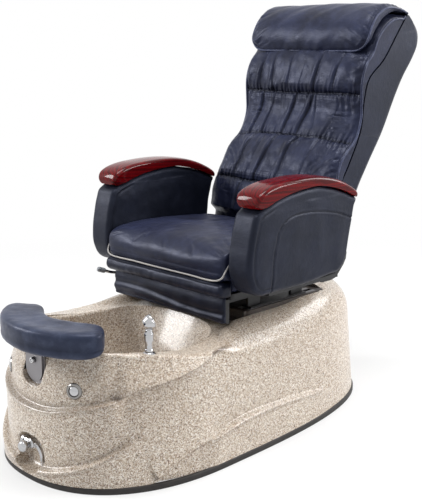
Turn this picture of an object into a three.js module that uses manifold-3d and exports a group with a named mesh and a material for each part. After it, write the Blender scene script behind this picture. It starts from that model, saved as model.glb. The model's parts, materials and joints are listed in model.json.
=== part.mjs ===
// Pedicure spa chair: a moulded foot-bath tub on the floor, and an upholstered massage seat on slides
// above it. Millimetres, +Z up. The sitter faces -Y, and X = 0 is the plane of symmetry.
// Y is written from the tub's widest station; the last lines move the whole chair so that the origin
// is under its middle.
import * as THREE from 'three';
import { mergeVertices } from 'three/addons/utils/BufferGeometryUtils.js';
import Module from 'manifold-3d';

const wasm = await Module();
wasm.setup();

// ---------------------------------------------------------------- driving dimensions
const gap = 0.3; // clearance left between pieces that touch

const tub = {
  halfWidth: 357, // at the floor
  front: 454, // from the widest station to the front tip
  rear: 862, // from the widest station to the rear end
  frontCurve: 2.31, // superellipse exponents of the two halves
  rearCurve: 2.94,
  draft: 0.08, // inward lean of the wall per mm of height
  wall: 7,
  rimFront: 384, // heights of the top edge
  rimMiddle: 350,
  deck: 386,
  tail: 412,
};
const trim = { height: 18, thickness: 9, proud: 3 };
const basin = { centre: -97, halfLength: 255, halfWidth: 238, curve: 2.8, floor: 118, rearSlope: 0.42 };
const plinth = { halfWidth: 230, front: 192, rear: 604, top: 400, foot: 352, lean: 26, corner: 46 };
const seatWell = { halfWidth: 224, front: 206, rear: 596, foot: 368 };
const rail = { x: 200, width: 44, foot: 386.5, front: 226, rear: 560 };
const carriage = { front: 280, rear: 476, post: 56, postThickness: 10, frontPost: 274, rearPost: 480 };
const seatBoard = { halfWidth: 266, front: 110, rear: 560, thickness: 18 };
const seatHeight = { frame: 437, cushionFoot: 524, crest: 630, rear: 602 };
const cushion = { halfWidth: 270, front: 62, rear: 556, round: 26 };
const apron = { halfWidth: 269, front: 60, top: 521, foot: 472 };
const skirt = { halfWidth: 255, front: 84, foot: 392 };
const arm = { inner: 274, outer: 366, front: 76, foot: 488, round: 17 };
const back = { halfWidth: 258, round: 30, wall: 14, pivotY: 628, pivotZ: 520, pivotRadius: 13 };
const spine = { y: 706, z: 772, lean: THREE.MathUtils.degToRad(30), railX: 84, length: 330 };
const footrest = {
  halfWidth: 205, front: 466, depth: 128, sag: 78, foot: 389, top: 456, strapHalf: 39, strapFoot: 282,
};
const hanger = { face: -416, thickness: 5, guide: 4 };
const niche = { halfWidth: 62, foot: 20, top: 128, depth: 46 };
const button = { x: 153, z: 285, radius: 15, bezel: 23, sink: 7, proud: 4 };
const sprayer = { x: 250, y: -205, flange: 19, handle: 9.5, head: 17 };

// ---------------------------------------------------------------- colours
const finish = (color, roughness, metalness = 0) => {
  return new THREE.MeshStandardMaterial({ color, roughness, metalness });
};
const stone = finish(0xcdbda4, 0.45);
const blackRubber = finish(0x1d1a19, 0.7);
const brownBase = finish(0x2a211c, 0.6);
const blackSteel = finish(0x16161a, 0.5, 0.4);
const greySteel = finish(0x8f8b8e, 0.4, 0.8);
const chrome = finish(0xe6e8ea, 0.1, 1);
const leather = finish(0x2b3350, 0.45);
const darkLeather = finish(0x1c2233, 0.5);
const cherry = finish(0x6d0f12, 0.12);
const blackPlastic = finish(0x202024, 0.55);
const paleRubber = finish(0x8b8f94, 0.6);

// ---------------------------------------------------------------- geometry helpers
const v2 = (x, y) => new THREE.Vector2(x, y);
const v3 = (x, y, z) => new THREE.Vector3(x, y, z);
const mix = THREE.MathUtils.lerp;
const clamp = THREE.MathUtils.clamp;
const smooth = (from, to, x) => THREE.MathUtils.smoothstep(x, from, to);

// Height of a line through [y, z] pairs, smooth between them.
function along(pairs, y) {
  const last = pairs.length - 1;
  if (y <= pairs[0][0]) return pairs[0][1];
  if (y >= pairs[last][0]) return pairs[last][1];
  const k = pairs.findIndex(([station]) => station > y) - 1;
  return mix(pairs[k][1], pairs[k + 1][1], (y - pairs[k][0]) / (pairs[k + 1][0] - pairs[k][0]));
}

// A smooth line through a few points, as evenly spaced points.
function smoothLine(points, count) {
  const curve = new THREE.SplineCurve(points.map(([x, y]) => v2(x, y)));
  return curve.getSpacedPoints(count);
}

function closedGeometry(points, faces) {
  const positions = new Float32Array(points.flatMap((p) => [p.x, p.y, p.z]));
  let volume = 0;
  for (const [a, b, c] of faces) {
    volume += points[a].dot(v3(0, 0, 0).crossVectors(points[b], points[c]));
  }
  const index = faces.flatMap(([a, b, c]) => (volume > 0 ? [a, b, c] : [a, c, b]));
  const geometry = new THREE.BufferGeometry();
  geometry.setAttribute('position', new THREE.BufferAttribute(positions, 3));
  geometry.setIndex(index);
  return geometry;
}

// A closed skin through rings of points. `ends` says how it is closed: by fans; 'mirror' joins each point
// of the last ring to the one across X = 0; 'strip' joins the first half of each end ring to its second.
function skin(rings, ends = 'fan') {
  const count = rings[0].length;
  const points = rings.flat();
  const faces = [];
  const last = (rings.length - 1) * count;
  for (let start = 0; start < last; start += count) {
    for (let i = 0; i < count; i += 1) {
      const j = (i + 1) % count;
      faces.push([start + i, start + j, start + count + j]);
      faces.push([start + i, start + count + j, start + count + i]);
    }
  }
  const fan = (start, order) => {
    const centre = v3(0, 0, 0);
    for (let i = 0; i < count; i += 1) centre.addScaledVector(points[start + i], 1 / count);
    const hub = points.push(centre) - 1;
    for (let i = 0; i < count; i += 1) {
      const j = (i + 1) % count;
      faces.push(order > 0 ? [hub, start + i, start + j] : [hub, start + j, start + i]);
    }
  };
  const strip = (start, order) => {
    for (let i = 0; i < count / 2 - 1; i += 1) {
      const [a, b, c, d] = [start + i, start + i + 1, start + count - 2 - i, start + count - 1 - i];
      faces.push(order > 0 ? [a, b, c] : [a, c, b], order > 0 ? [a, c, d] : [a, d, c]);
    }
  };
  if (ends === 'strip') {
    strip(0, -1);
    strip(last, 1);
  } else if (ends === 'mirror') {
    fan(0, -1);
    for (let i = 0; i < count / 2; i += 1) {
      const across = count - i;
      faces.push([last + i, last + i + 1, last + across - 1]);
      if (i > 0) faces.push([last + i, last + across - 1, last + across]);
    }
  } else {
    fan(0, -1);
    fan(last, 1);
  }
  return closedGeometry(points, faces.filter(([a, b, c]) => a !== b && b !== c && a !== c));
}

// Solid of a geometry, and back again.
function solid(geometry) {
  let bare = geometry.clone();
  bare.deleteAttribute('normal');
  bare.deleteAttribute('uv');
  bare = mergeVertices(bare, 1e-4);
  return new wasm.Manifold(
    new wasm.Mesh({
      numProp: 3,
      vertProperties: new Float32Array(bare.attributes.position.array),
      triVerts: new Uint32Array(bare.index.array),
    }),
  );
}
function geometryOf(body) {
  const mesh = body.getMesh();
  const geometry = new THREE.BufferGeometry();
  geometry.setAttribute('position', new THREE.BufferAttribute(new Float32Array(mesh.vertProperties), 3));
  geometry.setIndex(new THREE.BufferAttribute(new Uint32Array(mesh.triVerts), 1));
  return geometry;
}
const join = (...parts) => geometryOf(parts.map(solid).reduce((sum, part) => sum.add(part)));
const cut = (from, ...tools) => {
  return geometryOf(tools.map(solid).reduce((rest, tool) => rest.subtract(tool), solid(from)));
};
const place = (geometry, x, y, z) => geometry.clone().translate(x, y, z);

function box(x0, x1, y0, y1, z0, z1) {
  const geometry = new THREE.BoxGeometry(x1 - x0, y1 - y0, z1 - z0);
  return geometry.translate((x0 + x1) / 2, (y0 + y1) / 2, (z0 + z1) / 2);
}

// Closed outline of a rounded rectangle, centred at (cx, cy).
function roundedRectangle(width, height, radius, cx = 0, cy = 0, steps = 4) {
  const outline = [];
  const corners = [[1, -1, -90], [1, 1, 0], [-1, 1, 90], [-1, -1, 180]];
  for (const [sx, sy, from] of corners) {
    for (let k = 0; k <= steps; k += 1) {
      const angle = THREE.MathUtils.degToRad(from + (90 * k) / steps);
      const x = cx + sx * (width / 2 - radius) + radius * Math.cos(angle);
      const y = cy + sy * (height / 2 - radius) + radius * Math.sin(angle);
      outline.push(v2(x, y));
    }
  }
  return outline;
}

// A plate with the given outline in its own XY plane and its thickness along +Z.
function plate(outline, thickness, holes = []) {
  const shape = new THREE.Shape(outline);
  for (const hole of holes) shape.holes.push(new THREE.Path(hole));
  return new THREE.ExtrudeGeometry(shape, { depth: thickness, bevelEnabled: false, curveSegments: 12 });
}
function circle(radius, cx = 0, cy = 0, steps = 20) {
  const points = [];
  for (let k = 0; k < steps; k += 1) {
    const angle = (2 * Math.PI * k) / steps;
    points.push(v2(cx + radius * Math.cos(angle), cy + radius * Math.sin(angle)));
  }
  return points;
}

// A turned piece about +Z, from [radius, height] pairs that start and end on the axis.
function turned(profile, sides = 14) {
  const geometry = new THREE.LatheGeometry(profile.map(([r, z]) => v2(r, z)), sides);
  return solidOrder(geometry.rotateX(Math.PI / 2));
}
// A lathe's or an extrusion's faces, turned to point out.
function solidOrder(geometry) {
  const bare = geometry.clone();
  bare.deleteAttribute('normal');
  bare.deleteAttribute('uv');
  const merged = mergeVertices(bare, 1e-4);
  const position = merged.attributes.position;
  const points = [];
  for (let i = 0; i < position.count; i += 1) points.push(v3(0, 0, 0).fromBufferAttribute(position, i));
  const faces = [];
  const index = merged.index.array;
  for (let i = 0; i < index.length; i += 3) {
    const face = [index[i], index[i + 1], index[i + 2]];
    if (new Set(face).size === 3) faces.push(face);
  }
  return closedGeometry(points, faces);
}
const rod = (radius, length, sides = 14) => {
  return turned([[0, 0], [radius, 0], [radius, length], [0, length]], sides);
};

// A round tube along a smooth path.
function tube(path, radius, steps, sides = 10) {
  const curve = new THREE.CatmullRomCurve3(path.map(([x, y, z]) => v3(x, y, z)));
  const section = new THREE.Shape(circle(radius, 0, 0, sides));
  return solidOrder(new THREE.ExtrudeGeometry(section, { steps, bevelEnabled: false, extrudePath: curve }));
}

// An outline drawn in by `distance` on every side of its bounding box.
function shrink(outline, distance) {
  const extent = new THREE.Box2().setFromPoints(outline);
  const centre = extent.getCenter(v2(0, 0));
  const size = extent.getSize(v2(0, 0));
  const scale = v2(1 - (2 * distance) / size.x, 1 - (2 * distance) / size.y);
  return outline.map((p) => p.clone().sub(centre).multiply(scale).add(centre));
}

// An upholstered block: a closed [y, z] section carried across X, its edges rounded and its faces crowned.
function pad({ section, from, to, round, crown = 0, rings = 6, arc = 3 }) {
  const middle = (from + to) / 2;
  const half = (to - from) / 2;
  const left = [];
  for (let k = arc; k >= 0; k -= 1) {
    const angle = (Math.PI / 2) * (k / arc);
    left.push([-half + round * (1 - Math.sin(angle)), round * (1 - Math.cos(angle))]);
  }
  const body = [];
  for (let k = 1; k < rings; k += 1) body.push([mix(-half + round, half - round, k / rings), 0]);
  const right = left.map(([x, e]) => [-x, e]).reverse();
  const all = [...left, ...body, ...right];
  const centre = section.reduce((sum, p) => sum.add(p), v2(0, 0)).divideScalar(section.length);
  return skin(all.map(([x, edge]) => {
    const swell = crown * (1 - (x / half) ** 2);
    return shrink(section, edge).map((p) => {
      const lift = p.y > centre.y ? swell : 0;
      return v3(middle + x, p.x, p.y + lift);
    });
  }));
}

// A closed outline from [y, z, radius] corners, each corner drawn as a short curve.
function corners(list, steps = 3) {
  const outline = [];
  list.forEach(([y, z, radius = 0], k) => {
    const here = v2(y, z);
    const before = v2(...list[(k + list.length - 1) % list.length]);
    const after = v2(...list[(k + 1) % list.length]);
    const start = here.clone().lerp(before, Math.min(0.5, radius / here.distanceTo(before)));
    const end = here.clone().lerp(after, Math.min(0.5, radius / here.distanceTo(after)));
    if (radius === 0) {
      outline.push(here);
    } else {
      outline.push(...new THREE.QuadraticBezierCurve(start, here, end).getPoints(steps));
    }
  });
  return outline.filter((p, k) => p.distanceTo(outline[(k + 1) % outline.length]) > 0.5);
}

// A padded panel between a front and a rear line, carried across X. Towards its two ends the front is
// drawn back by `drawn` and the rear forward by `tucked`; `seams` press channels into the front at shares
// of its length.
function panel({
  front, rear, half, round, drawn = 0, tucked = 0, crown = 0, seams = [], count = 30, rings = 6,
}) {
  const face = smoothLine(front, count - 1);
  const spine = smoothLine(rear, count - 1);
  const steps = 3;
  const across = [];
  for (let k = 0; k <= steps; k += 1) {
    const t = Math.cos(((Math.PI / 2) * k) / steps);
    across.push([half - round + round * t, 1 - Math.sqrt(Math.max(0, 1 - t * t))]);
  }
  for (let k = 1; k <= rings; k += 1) across.push([(half - round) * (1 - k / rings), 0]);
  const right = across.map(([x, e]) => [x, e]);
  const left = across.slice(0, -1).map(([x, e]) => [-x, e]).reverse();
  return skin([...right, ...left].map(([x, e]) => {
    const fore = face.map((p, i) => {
      const depth = p.distanceTo(spine[i]);
      const share = i / (count - 1);
      const pressed = seams.reduce((sum, [at, deep, wide]) => {
        return sum + deep * Math.exp(-(((share - at) / wide) ** 2));
      }, 0);
      const swell = crown * (1 - (x / half) ** 2) * Math.min(1, share / 0.08, (1 - share) / 0.08);
      const move = Math.min(0.7 * depth, drawn * e + pressed) - swell;
      return p.clone().lerp(spine[i], depth > 0 ? move / depth : 0);
    });
    const aft = spine.map((p, i) => {
      const depth = p.distanceTo(face[i]);
      return depth > 0 ? p.clone().lerp(face[i], Math.min(0.28, (tucked * e) / depth)) : p.clone();
    });
    return [...fore, ...aft.reverse()].map((p) => v3(x, p.x, p.y));
  }), 'strip');
}

// ---------------------------------------------------------------- tub surface
// Height of the tub's top edge at a station.
function topHeight(y) {
  const basinRim = mix(tub.rimFront, tub.rimMiddle, smooth(-360, -20, y));
  const rise = (tub.deck - tub.rimMiddle) * smooth(10, 180, y);
  return basinRim + rise + (tub.tail - tub.deck) * smooth(400, 700, y);
}
// How far the deck lies below the ridge that the side wall makes beside it.
const dip = (y) => 25 * smooth(10, 170, y) * (1 - 0.6 * smooth(220, 420, y)) * (1 - smooth(420, 620, y));
// Radius between the wall and the top: a small lip round the basin, a full shoulder round the deck.
const shoulder = (y) => 12 + 88 * smooth(-20, 190, y) + 22 * smooth(480, 700, y);

// Distance from the floor outline to the plain wall, measured inwards.
function wallInset(y, z) {
  const rimLean = 0.35 * (1 - smooth(-80, 40, y));
  return tub.draft * z + rimLean * Math.max(0, z - 300);
}

// The three overlapping waves in the wall: the height of each step along the tub.
const upperWave = [
  [-454, 198], [-418, 220], [-375, 234], [-326, 253], [-278, 283], [-184, 302], [-80, 322],
  [-30, 338], [6, 350],
];
const frontWave = [[-454, 42], [-430, 61], [-385, 90], [-334, 127], [-262, 170]];
const sideWave = [
  [-238, 24], [-207, 52], [-139, 85], [-64, 100], [40, 121], [110, 128], [285, 124], [495, 101], [862, 70],
];
const lowerWave = (y) => mix(along(frontWave, y), along(sideWave, y), smooth(-300, -230, y));

// How far each step stands: positive where the wall above it is the proud one.
function upperStep(y) {
  const size = mix(-7, 8, smooth(-370, -290, y));
  return size * (1 - smooth(0, 70, y));
}
function lowerStep(y) {
  const front = -7 * (1 - smooth(-350, -270, y));
  const side = mix(7, -7, smooth(-90, -30, y)) * smooth(-270, -225, y) * (1 - smooth(380, 560, y));
  return front + side;
}
function waveRelief(y, z) {
  const softness = 6;
  const fade = 60;
  const step = (height, size) => {
    const above = z - height;
    const faded = Math.exp(-Math.max(0, Math.abs(above) - softness) / fade);
    return -size * clamp(above / softness, -1, 1) * faded;
  };
  return step(along(upperWave, y), upperStep(y)) + step(lowerWave(y), lowerStep(y));
}

// A point of the tub's outline at angle `turn` from the rear, moved in by `distance`.
function outlinePoint(turn, distance, shape = tub) {
  const c = Math.cos(turn);
  const s = Math.sin(turn);
  const exponent = c > 0 ? shape.rearCurve : shape.frontCurve;
  const length = (c > 0 ? shape.rear : shape.front) - distance;
  const reach = (Math.abs(s) ** exponent + Math.abs(c) ** exponent) ** (-1 / exponent);
  return v2(-(shape.halfWidth - distance) * s * reach, length * c * reach);
}

// Stations round the outline, denser where it bends.
function turns(count) {
  return Array.from({ length: count }, (_, k) => (2 * Math.PI * k) / count);
}

function tubOutside() {
  const stations = turns(54);
  const step = 6;
  const foot = trim.height + gap;
  const heights = (y) => {
    const low = lowerWave(y);
    const edge = topHeight(y) - shoulder(y);
    const high = Math.min(along(upperWave, y), edge - 3 * step);
    return [foot, low - step, low + step, mix(low, high, 0.5), high - step, high + step, edge];
  };
  const levels = heights(0).length;
  const rings = [];
  for (let k = 0; k < levels; k += 1) {
    rings.push(stations.map((turn) => {
      const y = outlinePoint(turn, 0).y;
      const z = heights(y)[k];
      const p = outlinePoint(turn, wallInset(y, z) + waveRelief(y, z));
      return v3(p.x, p.y, z);
    }));
  }
  const arcSteps = 3;
  for (let k = 1; k <= arcSteps; k += 1) {
    const angle = (Math.PI / 2) * (k / arcSteps);
    rings.push(stations.map((turn) => {
      const y = outlinePoint(turn, 0).y;
      const radius = shoulder(y);
      const edge = topHeight(y) - radius;
      const blend = Math.cos(angle);
      const distance = wallInset(y, edge) + waveRelief(y, edge) * blend + radius * (1 - Math.cos(angle));
      const p = outlinePoint(turn, distance);
      return v3(p.x, p.y, edge + radius * Math.sin(angle));
    }));
  }
  for (const [share, reach] of [[0.25, 12], [1, 30]]) {
    rings.push(stations.map((turn) => {
      const y = outlinePoint(turn, 0).y;
      const radius = shoulder(y);
      const inset = wallInset(y, topHeight(y) - radius) + radius;
      const p = outlinePoint(turn, inset + reach * smooth(0, 120, y) + share);
      return v3(p.x, p.y, topHeight(y) - share * dip(y));
    }));
  }
  return skin(rings, 'mirror');
}

// The space under the skin, open to the floor.
function tubInside() {
  const stations = turns(28);
  const levels = [-5, 0.5, 1];
  const rings = levels.map((level) => stations.map((turn) => {
    const y = outlinePoint(turn, 0).y;
    const edge = topHeight(y) - shoulder(y);
    const z = level < 0 ? level : level * edge;
    const p = outlinePoint(turn, wallInset(y, Math.max(z, 0)) + tub.wall + 8);
    return v3(p.x, p.y, z);
  }));
  for (const share of [0.5, 1]) {
    const angle = (Math.PI / 2) * share;
    rings.push(stations.map((turn) => {
      const y = outlinePoint(turn, 0).y;
      const radius = shoulder(y);
      const edge = topHeight(y) - radius;
      const distance = wallInset(y, edge) + tub.wall + 8 + radius * (1 - Math.cos(angle));
      const p = outlinePoint(turn, distance);
      const z = edge + Math.max(0, radius * Math.sin(angle) - tub.wall);
      return v3(p.x, p.y, Math.min(z, topHeight(y) - dip(y) - tub.wall - 3, seatWell.foot - tub.wall));
    }));
  }
  return skin(rings, 'mirror');
}

// The foot basin's hollow, or with `grow` the outside of its bowl.
function basinHollow(grow = 0) {
  const stations = turns(28);
  const profile = [[460, -6], [350, 0], [200, 16], [150, 27], [126, 48], [basin.floor, 78]];
  const rings = profile.map(([z, distance]) => {
    const shape = {
      halfWidth: basin.halfWidth + grow,
      front: basin.halfLength + grow,
      rear: basin.halfLength + grow - basin.rearSlope * clamp(350 - z, 0, 350 - 138),
      frontCurve: basin.curve,
      rearCurve: basin.curve,
    };
    const drop = grow * (1 - smooth(basin.floor, 200, z));
    return stations.map((turn) => {
      const p = outlinePoint(turn, distance, shape);
      return v3(p.x, p.y + basin.centre, z - drop);
    });
  });
  return skin(rings.reverse());
}

// The arched niche for the drain valve in the front wall, or the pocket round it.
function nicheHollow(grow = 0) {
  const half = niche.halfWidth + grow;
  const middle = (niche.foot + niche.top) / 2;
  const tall = (niche.top - niche.foot) / 2 + grow;
  const outline = (shrink) => circle(1, 0, 0, 20).map((p) => {
    const power = 2 / 2.6;
    const x = Math.sign(p.x) * Math.abs(p.x) ** power * (half - shrink);
    const z = Math.sign(p.y) * Math.abs(p.y) ** power * (tall - shrink);
    return [x, middle + z];
  });
  const deepest = -tub.front + niche.depth + grow;
  const rings = [[-tub.front - 40, 0], [deepest - 14, 0], [deepest - 4, 5], [deepest, 14]];
  return skin(rings.map(([y, shrink]) => outline(shrink).map(([x, z]) => v3(x, y, z))));
}

// The open-topped recess in the front rim that the footrest's hanger slides in.
function hangerOutline(half, foot, top) {
  const outline = [v2(half, top), v2(-half, top)];
  for (let k = 0; k <= 10; k += 1) {
    const angle = Math.PI + (Math.PI * k) / 10;
    outline.push(v2(half * Math.cos(angle), foot + 34 + 34 * Math.sin(angle)));
  }
  return outline;
}
function hangerRecess(grow = 0) {
  const opening = hangerOutline(footrest.strapHalf + 8 + grow, footrest.strapFoot - 12 - grow, 470);
  const recess = plate(opening, 80);
  const depth = hanger.face + hanger.thickness + hanger.guide + 3 * gap + grow;
  return solidOrder(recess.rotateX(Math.PI / 2).translate(0, depth, 0));
}

// ---------------------------------------------------------------- assembly
const chair = new THREE.Group();

// Adds a named piece to a group.
function add(name, geometry, material, parent = chair) {
  const bare = solidOrder(geometry);
  bare.computeVertexNormals();
  const mesh = new THREE.Mesh(bare, material);
  mesh.name = name;
  parent.add(mesh);
  return mesh;
}
const sides = [['left', -1], ['right', 1]];

// ---- tub
// Where the whirl jets sit: side, station and height on the basin wall.
const jet = { radius: 24, bore: 17, height: 236, depth: 26, front: -250, rear: -20 };
function basinWall(y, z) {
  const distance = z > 210 ? mix(15, 0, (z - 210) / 140) : 15;
  const half = basin.halfWidth - distance;
  const share = Math.abs(y - basin.centre) / (basin.halfLength - distance);
  return half * (1 - share ** basin.curve) ** (1 / basin.curve);
}
// Turns a +Z piece so that it points along -X or +X into the basin, at a point of the side wall.
function onBasinWall(geometry, side, y, z) {
  const ahead = (basinWall(y + 5, z) - basinWall(y - 5, z)) / 10;
  const aimed = geometry.clone().rotateY((-side * Math.PI) / 2);
  aimed.rotateZ(-side * Math.atan(ahead));
  return aimed.translate(side * basinWall(y, z), y, z);
}
const jetPlaces = [
  ['front_left', -1, jet.front], ['front_right', 1, jet.front],
  ['rear_left', -1, jet.rear], ['rear_right', 1, jet.rear],
];
// A through hole with a flat seat round it for a fitting's flange.
const seatedHole = (bore, flange, sides = 14) => join(
  place(rod(bore + 3 * gap, 75, sides), 0, 0, -45),
  rod(flange + 1, 24, sides),
);
const suction = { radius: 46, height: 200 };

const strainer = { radius: 34, bore: 20, y: -200 };
const overflow = { radius: 15, bore: 8, y: -165, z: 318 };

const suctionTop = [[0, 12], [20, 12], [32, 9], [suction.radius, 2], [suction.radius, 0], [0, 0]];
const rearWallTilt = Math.atan(1 / (basin.rearSlope + 0.22));
// Lays a +Z piece on the sloping rear wall of the basin.
function onRearWall(geometry) {
  const lie = geometry.clone().rotateX(rearWallTilt);
  const y = basin.centre + basin.halfLength - 17 - basin.rearSlope * (350 - suction.height);
  return lie.translate(0, y, suction.height);
}

function tubShell() {
  const jetHoles = jetPlaces.map(([, side, y]) => {
    return onBasinWall(seatedHole(jet.bore, jet.radius), side, y, jet.height);
  });
  const overflowHole = onBasinWall(seatedHole(overflow.bore, overflow.radius), -1, overflow.y, overflow.z);
  const sprayerHole = place(seatedHole(11, sprayer.flange), sprayer.x, sprayer.y, topHeight(sprayer.y) - 1);
  const suctionSeat = onRearWall(rod(suction.radius + 3, 40, 16));
  const well = box(
    -seatWell.halfWidth, seatWell.halfWidth, seatWell.front, seatWell.rear, seatWell.foot, 500,
  );
  const drainHole = place(rod(strainer.bore + 1, 60), 0, strainer.y, basin.floor - 40);
  const buttonHole = seatedHole(button.radius + 3, button.bezel + 1);
  const buttonHoles = sides.map(([, side]) => buttonFrame(buttonHole, side));
  const pockets = [basinHollow(tub.wall), nicheHollow(tub.wall), hangerRecess(tub.wall)].map(solid);
  const hollow = pockets.reduce((rest, pocket) => rest.subtract(pocket), solid(tubInside()));
  const openings = [
    basinHollow(), nicheHollow(), hangerRecess(), ...jetHoles, overflowHole, drainHole, suctionSeat, well,
    sprayerHole, ...buttonHoles,
  ];
  const outside = solid(tubOutside()).subtract(hollow);
  return geometryOf(openings.map(solid).reduce((rest, opening) => rest.subtract(opening), outside));
}

// A point and direction on the front wall for the two buttons: +Z of the piece points out of the wall.
function wallPoint(x, z) {
  let y = -tub.front;
  for (let pass = 0; pass < 60; pass += 1) {
    const shrink = wallInset(y, z) + waveRelief(y, z);
    const share = Math.abs(x) / (tub.halfWidth - shrink);
    y = -(tub.front - shrink) * (1 - share ** tub.frontCurve) ** (1 / tub.frontCurve);
  }
  return y;
}
function buttonFrame(geometry, side) {
  const x = button.x;
  const slope = (wallPoint(x + 4, button.z) - wallPoint(x - 4, button.z)) / 8;
  const aimed = place(geometry, 0, 0, -button.sink).rotateX(Math.PI / 2 - Math.atan(tub.draft));
  aimed.rotateZ(side * Math.atan(slope));
  return aimed.translate(side * x, wallPoint(x, button.z), button.z);
}

const shellGeometry = tubShell();
add('tub_shell', shellGeometry, stone);

const trimOutline = (distance) => turns(44).map((turn) => outlinePoint(turn, distance));
const trimInside = trimOutline(trim.thickness - trim.proud).reverse();
const trimRing = plate(trimOutline(-trim.proud), trim.height, [trimInside]);
add('foot_trim', trimRing, blackRubber);

// ---- basin fittings
const strainerTop = [
  [0, 3], [10, 3], [12, 5], [30, 5], [strainer.radius, 3], [strainer.radius, 0], [strainer.bore, 0],
  [strainer.bore, -24], [0, -24],
];
add('drain_strainer', place(turned(strainerTop), 0, strainer.y, basin.floor + gap), chrome);

const jetProfile = [
  [0, 5], [6, 5], [8, 9], [13, 9], [16, 4], [22, 4], [jet.radius, 1], [jet.radius, 0], [jet.bore, 0],
  [jet.bore, -jet.depth], [0, -jet.depth],
];
for (const [name, side, y] of jetPlaces) {
  add(`jet_${name}`, onBasinWall(place(turned(jetProfile, 10), 0, 0, gap), side, y, jet.height), chrome);
}
const overflowProfile = [
  [0, 2], [5, 2], [6, 3], [12, 3], [overflow.radius, 1], [overflow.radius, 0], [overflow.bore, 0],
  [overflow.bore, -20], [0, -20],
];
const overflowCap = place(turned(overflowProfile, 12), 0, 0, gap);
add('overflow_cap', onBasinWall(overflowCap, -1, overflow.y, overflow.z), chrome);

const grille = turned(suctionTop, 14);
const slots = [-24, -12, 0, 12, 24].map((x) => box(x - 2.5, x + 2.5, -24, 24, 7, 20));
add('suction_cover', onRearWall(place(cut(grille, ...slots), 0, 0, gap)), blackPlastic);

// ---- whirl pump under the deck, standing on the floor frame of the tub
const pump = { y: 330, x: -60, radius: 62, length: 190, z: 96 };
const motorProfile = [
  [0, 0], [46, 0], [58, 8], [pump.radius, 20], [pump.radius, 150], [54, 160], [54, 176], [40, pump.length],
  [0, pump.length],
];
const motor = turned(motorProfile, 14).rotateX(-Math.PI / 2);
const pumpFoot = box(-70, 70, 20, 150, -pump.z + 1, -pump.radius + 8);
const voluteProfile = [[0, 0], [74, 0], [84, 10], [84, 44], [72, 54], [0, 54]];
const volute = turned(voluteProfile, 14).rotateX(-Math.PI / 2);
const outlet = place(rod(20, 90), -54, 27, 20);
const inlet = rod(24, 70).rotateX(Math.PI / 2);
const casing = place(join(volute, outlet, place(inlet, 0, 20, 0)), 0, -52, 0);
const suctionPipe = tube([
  [pump.x, pump.y - 66, pump.z], [pump.x, pump.y - 120, pump.z + 2], [pump.x / 2, 150, 118],
  [0, 117, 142.7], [0, 69.5, 173],
], 18, 8, 10);
const pumpBody = join(place(join(motor, pumpFoot, casing), pump.x, pump.y, pump.z), suctionPipe);
add('whirl_pump', cut(pumpBody, place(shellGeometry, 0, 0.6, -0.3)), blackPlastic);

// ---- drain valve in the niche
const valve = { y: -tub.front + niche.depth - gap, z: 98, reach: 36 };
const valveBody = join(
  rod(13, valve.reach).rotateX(Math.PI / 2),
  place(rod(11, 42).rotateY(-Math.PI / 2), 0, -22, 0),
  place(turned([[0, 0], [15, 0], [15, 10], [11, 12], [0, 12]]).rotateY(-Math.PI / 2), -34, -22, 0),
);
const knobProfile = [[0, 0], [9, 0], [9, 6], [14, 9], [17, 16], [16, 24], [11, 29], [0, 31]];
const knob = turned(knobProfile, 16).rotateX(Math.PI / 2);
add('drain_knob', place(knob, 0, valve.y - valve.reach - gap, valve.z), chrome);
const drainPath = [
  [4, valve.y - 22, valve.z], [24, valve.y - 22, valve.z - 4], [36, valve.y - 20, valve.z - 20],
  [38, valve.y - 18, valve.z - 40], [34, valve.y - 14, valve.z - 60],
];
add('drain_valve', join(place(valveBody, 0, valve.y, valve.z), tube(drainPath, 6.5, 9, 8)), chrome);

// ---- push buttons of the whirl jets and the tub light
const bezelTop = button.sink + button.proud;
const bezelCup = [
  [0, -34], [button.radius + 2, -34], [button.radius + 2, gap], [button.bezel, gap],
  [button.bezel, bezelTop - 3],
  [button.bezel - 3, bezelTop], [button.radius + gap, bezelTop], [button.radius + gap, -14], [0, -14],
];
const domeProfile = [
  [0, -9], [button.radius, -9], [button.radius, bezelTop - 3], [12, bezelTop], [7, bezelTop + 2],
  [0, bezelTop + 3],
];
for (const [name, side] of sides) {
  add(`button_bezel_${name}`, buttonFrame(turned(bezelCup), side), chrome);
  add(`button_${name}`, buttonFrame(turned(domeProfile), side), chrome);
}

// ---- footrest hanger and pad
const strapTop = footrest.foot - gap;
const shelfThickness = 4;
const guideOutline = hangerOutline(footrest.strapHalf + 6, footrest.strapFoot - 9, strapTop - 18);
const guidePlate = plate(guideOutline, hanger.guide).rotateX(Math.PI / 2);
const guideBack = hanger.face + hanger.thickness + hanger.guide + gap;
add('footrest_guide', place(guidePlate, 0, guideBack, 0), greySteel);

const strapOutline = hangerOutline(footrest.strapHalf, footrest.strapFoot, strapTop);
const screw = { z: 344, hole: 8, head: 9, shank: 5 };
const strapPlate = plate(strapOutline, hanger.thickness, [circle(screw.hole, 0, screw.z, 16).reverse()]);
const strap = place(strapPlate.rotateX(Math.PI / 2), 0, hanger.face + hanger.thickness, 0);
const shelf = box(-120, 120, hanger.face + 1, hanger.face + 92, strapTop - shelfThickness, strapTop);
add('footrest_hanger', join(strap, shelf), greySteel);
const screwProfile = [
  [0, 0], [screw.shank, 0], [screw.shank, 6], [screw.head, 7], [screw.head, 12], [5, 14], [5, 11], [0, 11],
];
const clampScrew = turned(screwProfile, 16).rotateX(Math.PI / 2);
add('footrest_clamp_screw', place(clampScrew, 0, hanger.face + hanger.thickness, screw.z), chrome);

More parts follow.
